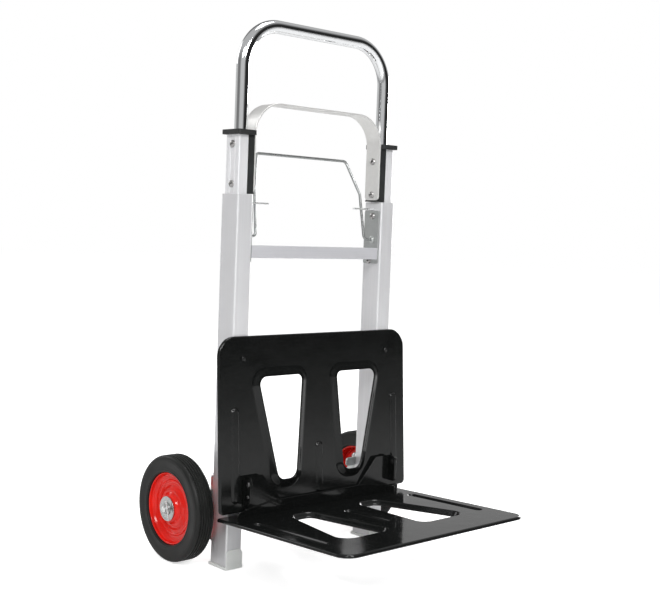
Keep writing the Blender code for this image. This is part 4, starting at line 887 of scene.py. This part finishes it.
def wheel_carriers():
    """Swing mounts, their pins and the arms that carry the wheels."""
    knuckle_h = 20 * MM
    mount_t = 2.5 * MM
    arm_t = 3 * MM
    arm_x = 173 * MM
    rear = RAIL_D + GAP
    for name, side in SIDES:
        low, high = cad_box(f"swing_mount_{name}")
        bottom, top = low.z, high.z
        tab_in = min(abs(low.x), abs(high.x))
        mesh = bmesh.new()
        plate = round_rectangle(RAIL_IN + 2 * MM, RAIL_OUT - 2 * MM, bottom, top, 3 * MM)
        prism(mesh, plate, rear, rear + mount_t, "Y")
        tab = round_rectangle(tab_in, RAIL_X, top - 14 * MM, top, 5 * MM)
        prism(mesh, tab, rear, rear + mount_t - 0.02 * MM, "Y")
        for z in (bottom, top - knuckle_h):
            knuckle(mesh, z, z + knuckle_h)
            for hand in (-1, 1):
                web_x = RAIL_X + hand * KNUCKLE_R * 0.78
                web = rectangle(web_x - 1.1 * MM, web_x + 1.1 * MM, rear + mount_t / 2, SWING_Y - 2 * MM)
                prism(mesh, web, z + 0.5 * MM, z + knuckle_h - 0.5 * MM)
        mirrored(mesh, side)
        piece(f"swing_hinge_{name}", mesh, "zinc", "frame", [f"swing_mount_{name}"], edge=0.4 * MM)

        node = f"swing_pin_{name}"
        pin_low, pin_high = cad_box(node)
        radius = 3.5 * MM
        head_r = 6 * MM
        head = top + GAP
        profile = [
            (0, pin_low.z),
            (radius, pin_low.z),
            (radius, head),
            (head_r, head),
            (head_r, head + 1.2 * MM),
            (4.4 * MM, head + 2.9 * MM),
            (0, pin_high.z),
        ]
        place = (side * RAIL_X, SWING_Y, 0)
        turned(f"swing_pivot_{name}", profile, 0.6 * MM, place, (0, 0, 1), 40, "bright_zinc", "frame", [node])

        arm_low, arm_high = cad_box(f"wheel_bracket_{name}")
        z0, z1 = arm_low.z, arm_high.z
        mesh = bmesh.new()
        knuckle(mesh, z0, z1)
        web = rectangle(RAIL_X + KNUCKLE_R * 0.8, arm_x + arm_t, SWING_Y - arm_t / 2, SWING_Y + arm_t / 2)
        prism(mesh, web, z0 + 0.05 * MM, z1 - 0.05 * MM)
        arm = rounded(
            [
                (SWING_Y - arm_t / 2, z0),
                (WHEEL_Y + 4 * MM, z0 + 6 * MM),
                (WHEEL_Y + 17 * MM, WHEEL_R - 8 * MM),
                (WHEEL_Y + 17 * MM, WHEEL_R + 8 * MM),
                (WHEEL_Y + 4 * MM, z1 - 6 * MM),
                (SWING_Y - arm_t / 2, z1),
            ],
            (0.5 * MM, 6 * MM, 8 * MM, 8 * MM, 6 * MM, 0.5 * MM),
        )
        prism(mesh, arm, arm_x, arm_x + arm_t, "X")
        mirrored(mesh, side)
        piece(
            f"swing_arm_{name}", mesh, "zinc", f"wheel_arm_{name}", [f"wheel_bracket_{name}"], edge=0.4 * MM
        )


def disc_size(node):
    """How far from the middle of the truck a disc on an axle starts and ends, and its radius."""
    low, high = cad_box(node)
    return (*sorted((abs(low.x), abs(high.x))), (high.z - low.z) / 2)


def axle_parts():
    for name, side in SIDES:
        body = f"wheel_arm_{name}"
        origin = (0, WHEEL_Y, WHEEL_R)
        outward = (side, 0, 0)
        head_out = 172.7 * MM
        head_r = 9 * MM
        axle = [
            (0, head_out - 3 * MM),
            (head_r, head_out - 3 * MM),
            (head_r, head_out),
            (AXLE_R, head_out),
            (AXLE_R, AXLE_END - 1.2 * MM),
            (AXLE_R - 1.2 * MM, AXLE_END),
            (2.2 * MM, AXLE_END),
            (1.6 * MM, AXLE_END - 0.8 * MM),
            (0, AXLE_END - 1 * MM),
        ]
        node = f"stub_axle_{name}"
        turned(
            f"axle_turned_{name}", axle, 0.3 * MM, origin, outward, 40, "bright_zinc", body, [node], steps=3
        )

        inner, outer, radius = disc_size(f"axle_washer_{name}")
        bore = AXLE_R + GAP
        mesh = bmesh.new()
        washer = [
            (bore, inner),
            (radius, inner),
            (radius, outer),
            (radius - 2.2 * MM, outer),
            (radius - 3.2 * MM, outer - 0.6 * MM),
            (radius - 6.2 * MM, outer - 0.6 * MM),
            (radius - 7.2 * MM, outer),
            (bore, outer),
        ]
        lathe(mesh, washer, origin, outward, 64, closed=True)
        piece(f"axle_cup_{name}", mesh, "washer", body, [f"axle_washer_{name}"], edge=0.25 * MM)

        inner, outer, radius = disc_size(f"axle_nut_{name}")
        mesh = bmesh.new()
        nut = [
            (bore, inner),
            (radius, inner),
            (radius, inner + 1.1 * MM),
            (radius - 2.4 * MM, inner + 1.5 * MM),
            (radius - 3.0 * MM, outer - 0.5 * MM),
            (radius - 3.6 * MM, outer),
            (bore, outer),
        ]
        lathe(mesh, nut, origin, outward, 48, closed=True)
        piece(f"axle_collar_{name}", mesh, "washer", body, [f"axle_nut_{name}"], edge=0.2 * MM)

        # Split pin through the collar's outer edge
        x = side * (outer + 0.2 * MM)
        reach = 15 * MM
        down = Vector((0, -0.30, -0.95))
        centre = Vector((x, WHEEL_Y - 9 * MM, WHEEL_R))
        path = [centre - down * reach, centre, centre + down * reach]
        mesh = bmesh.new()
        sweep(mesh, path, 1.1 * MM, 16)
        piece(f"split_pin_{name}", mesh, "bright_zinc", body, [])


def wheels():
    half = 13 * MM
    bore = AXLE_R + GAP
    hub_out = cad_box("wheel_rim_right")[1].x - WHEEL_X
    hub_in = WHEEL_X - cad_box("wheel_rim_right")[0].x
    skin = 1.8 * MM
    outside = [
        *in_mm((53.3, 8.0), (51.5, 5.2), (47.5, 3.2), (43.5, 3.0), (42.2, 4.2), (40.6, 4.2), (39.2, 3.0)),
        *in_mm((35.0, 3.6), (31.0, 6.2), (28.0, 7.4), (25.0, 7.6), (23.0, 9.4), (20.6, 12.6)),
    ]
    inside = [(r - (0.6 * MM if r > 50 * MM else 0), h - skin) for r, h in outside[::-1]]
    rim = [
        (RIM_R, -half),
        (RIM_R, half - 0.8 * MM),
        (RIM_R - 0.8 * MM, half),
        (RIM_R - 2.2 * MM, half - 0.4 * MM),
        *outside,
        (18.2 * MM, hub_out - 0.5 * MM),
        (17 * MM, hub_out),
        (bore, hub_out),
        (bore, -hub_in),
        (11 * MM, -hub_in),
        (13 * MM, 6 * MM),
        *inside,
        (RIM_R - 2.5 * MM, -half),
    ]
    tyre_half = (TYRE_HIGH.x - TYRE_LOW.x) / 2
    shoulder = 6 * MM
    groove = 2.0 * MM
    side_wall = [
        (RIM_R + GAP, tyre_half - 3 * MM),
        (RIM_R + 1.2 * MM, tyre_half - 1.4 * MM),
        (RIM_R + 3.2 * MM, tyre_half - 0.5 * MM),
        (RIM_R + 4.0 * MM, tyre_half - 1.0 * MM),
        (RIM_R + 9.0 * MM, tyre_half - 0.9 * MM),
        (RIM_R + 16.0 * MM, tyre_half - 0.2 * MM),
        (RIM_R + 18.2 * MM, tyre_half),
    ]
    side_wall += [
        (WHEEL_R - shoulder + shoulder * math.sin(a), tyre_half - shoulder + shoulder * math.cos(a))
        for a in (math.radians(12 * k) for k in range(1, 7))
    ]
    tread = []
    for centre in (9.2, 4.6, 0.0, -4.6, -9.2):
        for offset, depth in ((1.5, 0.0), (0.7, groove), (-0.7, groove), (-1.5, 0.0)):
            tread.append((WHEEL_R - depth, (centre + offset) * MM))
    tyre = side_wall + tread + [(r, -h) for r, h in side_wall[::-1]]
    for name, side in SIDES:
        origin = (side * WHEEL_X, WHEEL_Y, WHEEL_R)
        outward = (side, 0, 0)
        mesh = bmesh.new()
        lathe(mesh, soft([*rim, rim[0]], 0.9 * MM, 3)[:-1], origin, outward, 96, closed=True)
        piece(f"rim_pressing_{name}", mesh, "red", f"wheel_{name}", [f"wheel_rim_{name}"], sharp=50)
        mesh = bmesh.new()
        lathe(mesh, soft([*tyre, tyre[0]], 0.35 * MM, 2)[:-1], origin, outward, 112, closed=True)
        piece(f"tyre_ribbed_{name}", mesh, "rubber", f"wheel_{name}", [f"tyre_{name}"], sharp=60)


# ------------ telescopic stages


def stage_outline():
    """C-shaped section, with a wide shallow groove and two fine lines down its web."""
    front, rear, mid = STAGE_LOW.y, STAGE_HIGH.y, RAIL_MID_Y
    out, inner = STAGE_HIGH.x, STAGE_LOW.x
    wall = 1.6 * MM
    web = out - wall
    half = 5.5 * MM
    groove = out - 0.7 * MM
    line = 0.5 * MM
    reach = half + 2.6 * MM
    corner = 2 * MM
    return [
        (inner, front),
        *arc((out - corner, front + corner), corner, -math.pi / 2, 0, 6),
        (out, mid - reach),
        (out - line, mid - reach + line),
        (out - line, mid - reach + 3 * line),
        (out, mid - reach + 4 * line),
        (out, mid - half),
        (groove, mid - half + 0.7 * MM),
        (groove, mid + half - 0.7 * MM),
        (out, mid + half),
        (out, mid + reach - 4 * line),
        (out - line, mid + reach - 3 * line),
        (out - line, mid + reach - line),
        (out, mid + reach),
        *arc((out - corner, rear - corner), corner, 0, math.pi / 2, 6),
        (inner, rear),
        (inner, rear - wall),
        (web, rear - wall),
        (web, front + wall),
        (inner, front + wall),
    ]


def middle_stage():
    tube_x = 147.3 * MM
    sleeve_wall = 2.4 * MM
    sleeve_in = BAND_HIGH.x + GAP
    stage_top = STAGE_HIGH.z
    for name, side in SIDES:
        mesh = bmesh.new()
        prism(mesh, stage_outline(), STAGE_LOW.z, stage_top)
        mirrored(mesh, side)
        node = f"stage_channel_{name}"
        piece(f"stage_extrusion_{name}", mesh, "stage", "middle_stage", [node], edge=0.12 * MM, segments=1)

        # The ring round the tube and the sleeve that closes the channel's open side
        mesh = bmesh.new()
        hole = circle((tube_x, RAIL_MID_Y), TUBE_R + GAP)
        ring = round_rectangle(sleeve_in, COLLAR_HIGH.x, COLLAR_LOW.y, COLLAR_HIGH.y, 3.2 * MM)
        prism(mesh, ring, stage_top + GAP, COLLAR_HIGH.z, holes=[hole])
        sleeve_low = COLLAR_LOW.z
        front, rear = STAGE_LOW.y, STAGE_HIGH.y
        sleeve = channel(sleeve_in, STAGE_LOW.x - GAP, front, rear, sleeve_wall)
        prism(mesh, sleeve, sleeve_low, stage_top + 1 * MM)
        lip = round_rectangle(COLLAR_LOW.x, sleeve_in + sleeve_wall, front + 1 * MM, rear - 1 * MM, 1 * MM)
        prism(mesh, lip, sleeve_low + 0.02 * MM, sleeve_low + 2 * MM)
        mirrored(mesh, side)
        node = f"stage_collar_{name}"
        piece(f"collar_moulding_{name}", mesh, "plastic", "middle_stage", [node], edge=0.7 * MM, segments=3)

    mesh = bmesh.new()
    thick = 2.6 * MM
    bend = 50 * MM
    out = BAND_HIGH.x
    outer = arch(out, BAND_LOW.z, BAND_HIGH.z, bend)
    inner = arch(out - thick, BAND_LOW.z, BAND_HIGH.z - thick, bend - thick)
    prism(mesh, outer + inner[::-1], BAND_LOW.y, BAND_HIGH.y, "Y")
    ends = [
        edge
        for edge in mesh.edges
        if all(abs(vert.co.z - BAND_LOW.z) < 1e-6 for vert in edge.verts)
        and abs(edge.verts[0].co.y - edge.verts[1].co.y) < 1e-6
    ]
    bmesh.ops.bevel(mesh, geom=ends, offset=6 * MM, segments=8, profile=0.5, affect="EDGES")
    piece("band_strip", mesh, "band", "middle_stage", ["band_arch"], edge=0.5 * MM, segments=3)


def handle():
    line = arch(TUBE_HIGH.x - TUBE_R, TUBE_LOW.z, TUBE_HIGH.z - TUBE_R, 66 * MM, steps=28)
    mesh = bmesh.new()
    sweep(mesh, [(x, RAIL_MID_Y, z) for x, z in line], TUBE_R, 56, 1.2 * MM)
    piece("handle_bent_tube", mesh, "chrome", "handle", ["handle_tube"])


def carried_over():
    """CAD nodes that stay as they are, inside the rails, with a real material."""
    for name, _ in SIDES:
        for stem in ("stage_foot", "tube_plug"):
            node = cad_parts[f"{stem}_{name}"]
            node.data.materials.clear()
            node.data.materials.append(PAINTS["plastic"][1])


# ------------ studio

# Dark flags to the right of the front, to the left and behind, where the metal would mirror a bright room:
# direction, cosines where the dimming starts and ends, and what is left of the light there
FLAGS = (
    ((0.66, -0.75, 0.0), 0.55, 0.88, 0.04),
    ((-0.9, 0.2, 0.1), 0.80, 0.97, 0.35),
    ((0.3, 0.9, 0.9), 0.86, 0.97, 0.30),
)
# Name, place, side in metres and watts
LAMPS = (
    ("key", (-2.4, -1.9, 2.4), 0.9, 46),
    ("front", (-0.6, -3.0, 2.3), 1.0, 58),
    ("right", (2.9, 0.75, 0.9), 0.9, 46),
    ("top", (0.3, -0.3, 3.2), 1.2, 34),
    ("rear", (-0.8, 2.8, 1.8), 1.2, 12),
)
LAMP_AIM = Vector((0, 0, 0.4))
ROOM_LOW, ROOM_HIGH = 0.62, 0.50
FLOOR_HALF = 14.0
FLOOR_Z = -0.0004
FLOOR_LIFT = 0.66
WHITE = (1, 1, 1, 1)
CAMERA_PLACE = (-1.1503, -1.3094, 0.5232)
CAMERA_RIGHT = (0.7446, -0.6664, 0.0382)
CAMERA_FORWARD = (0.66735, 0.74224, -0.0612)
LENS = 59.97
SENSOR = 36


def studio_floor():
    """A pale floor that looks white to the camera and still shows the shadow."""
    mesh = bpy.data.meshes.new("studio_floor")
    corners = [(x, y, 0) for x, y in rectangle(-FLOOR_HALF, FLOOR_HALF, -FLOOR_HALF, FLOOR_HALF)]
    mesh.from_pydata(corners, [], [(0, 1, 2, 3)])
    floor = bpy.data.objects.new("studio_floor", mesh)
    floor.location.z = FLOOR_Z
    bpy.context.scene.collection.objects.link(floor)
    material = bpy.data.materials.new("studio_floor")
    material.use_nodes = True
    tree = material.node_tree
    inputs = tree.nodes["Principled BSDF"].inputs
    inputs["Base Color"].default_value = (0.80, 0.80, 0.80, 1)
    inputs["Roughness"].default_value = 0.9
    inputs["Specular IOR Level"].default_value = 0.0
    inputs["Emission Color"].default_value = WHITE
    seen = add_node(tree, "ShaderNodeLightPath", {}).outputs["Is Camera Ray"]
    tree.links.new(maths(tree, "MULTIPLY", seen, FLOOR_LIFT), inputs["Emission Strength"])
    mesh.materials.append(material)


def studio_world():
    """An even room with dark flags, which looks white to the camera."""
    world = bpy.data.worlds.new("studio")
    bpy.context.scene.world = world
    world.use_nodes = True
    tree = world.node_tree
    inputs = tree.nodes["Background"].inputs
    inputs["Color"].default_value = WHITE
    towards = add_node(tree, "ShaderNodeTexCoord", {}).outputs["Generated"]
    split = add_node(tree, "ShaderNodeSeparateXYZ", {"Vector": towards})
    strength = ranged(tree, split.outputs["Z"], -0.1, 0.9, ROOM_LOW, ROOM_HIGH)
    for direction, start, end, dimmed in FLAGS:
        sources = {0: towards, 1: Vector(direction).normalized()}
        facing = add_node(tree, "ShaderNodeVectorMath", sources, operation="DOT_PRODUCT")
        shade = ranged(tree, facing.outputs["Value"], start, end, 1.0, dimmed)
        strength = maths(tree, "MULTIPLY", strength, shade)
    seen = add_node(tree, "ShaderNodeLightPath", {}).outputs["Is Camera Ray"]
    tree.links.new(maths(tree, "MAXIMUM", strength, seen), inputs["Strength"])


def studio_lamps():
    for name, place, size, power in LAMPS:
        light = bpy.data.lights.new(name, "AREA")
        light.shape = "SQUARE"
        light.size = size
        light.energy = power
        lamp = bpy.data.objects.new(name, light)
        lamp.location = place
        lamp.rotation_mode = "QUATERNION"
        lamp.rotation_quaternion = (LAMP_AIM - Vector(place)).to_track_quat("-Z", "Y")
        bpy.context.scene.collection.objects.link(lamp)


def studio_camera():
    data = bpy.data.cameras.new("camera")
    data.sensor_width = SENSOR
    data.lens = LENS
    camera = bpy.data.objects.new("camera", data)
    back = -Vector(CAMERA_FORWARD).normalized()
    up = back.cross(Vector(CAMERA_RIGHT).normalized()).normalized()
    right = up.cross(back)
    place = Vector(CAMERA_PLACE) + SHIFT
    camera.matrix_world = columns(right, up, back, place)
    bpy.context.scene.collection.objects.link(camera)
    bpy.context.scene.camera = camera


rails_and_feet()
crossbar_and_bail()
rivets()
back_plate()
toe_plate()
hinges()
wheel_carriers()
axle_parts()
wheels()
middle_stage()
handle()
carried_over()

bpy.context.scene.view_settings.view_transform = "Standard"
studio_floor()
studio_world()
studio_lamps()
studio_camera()
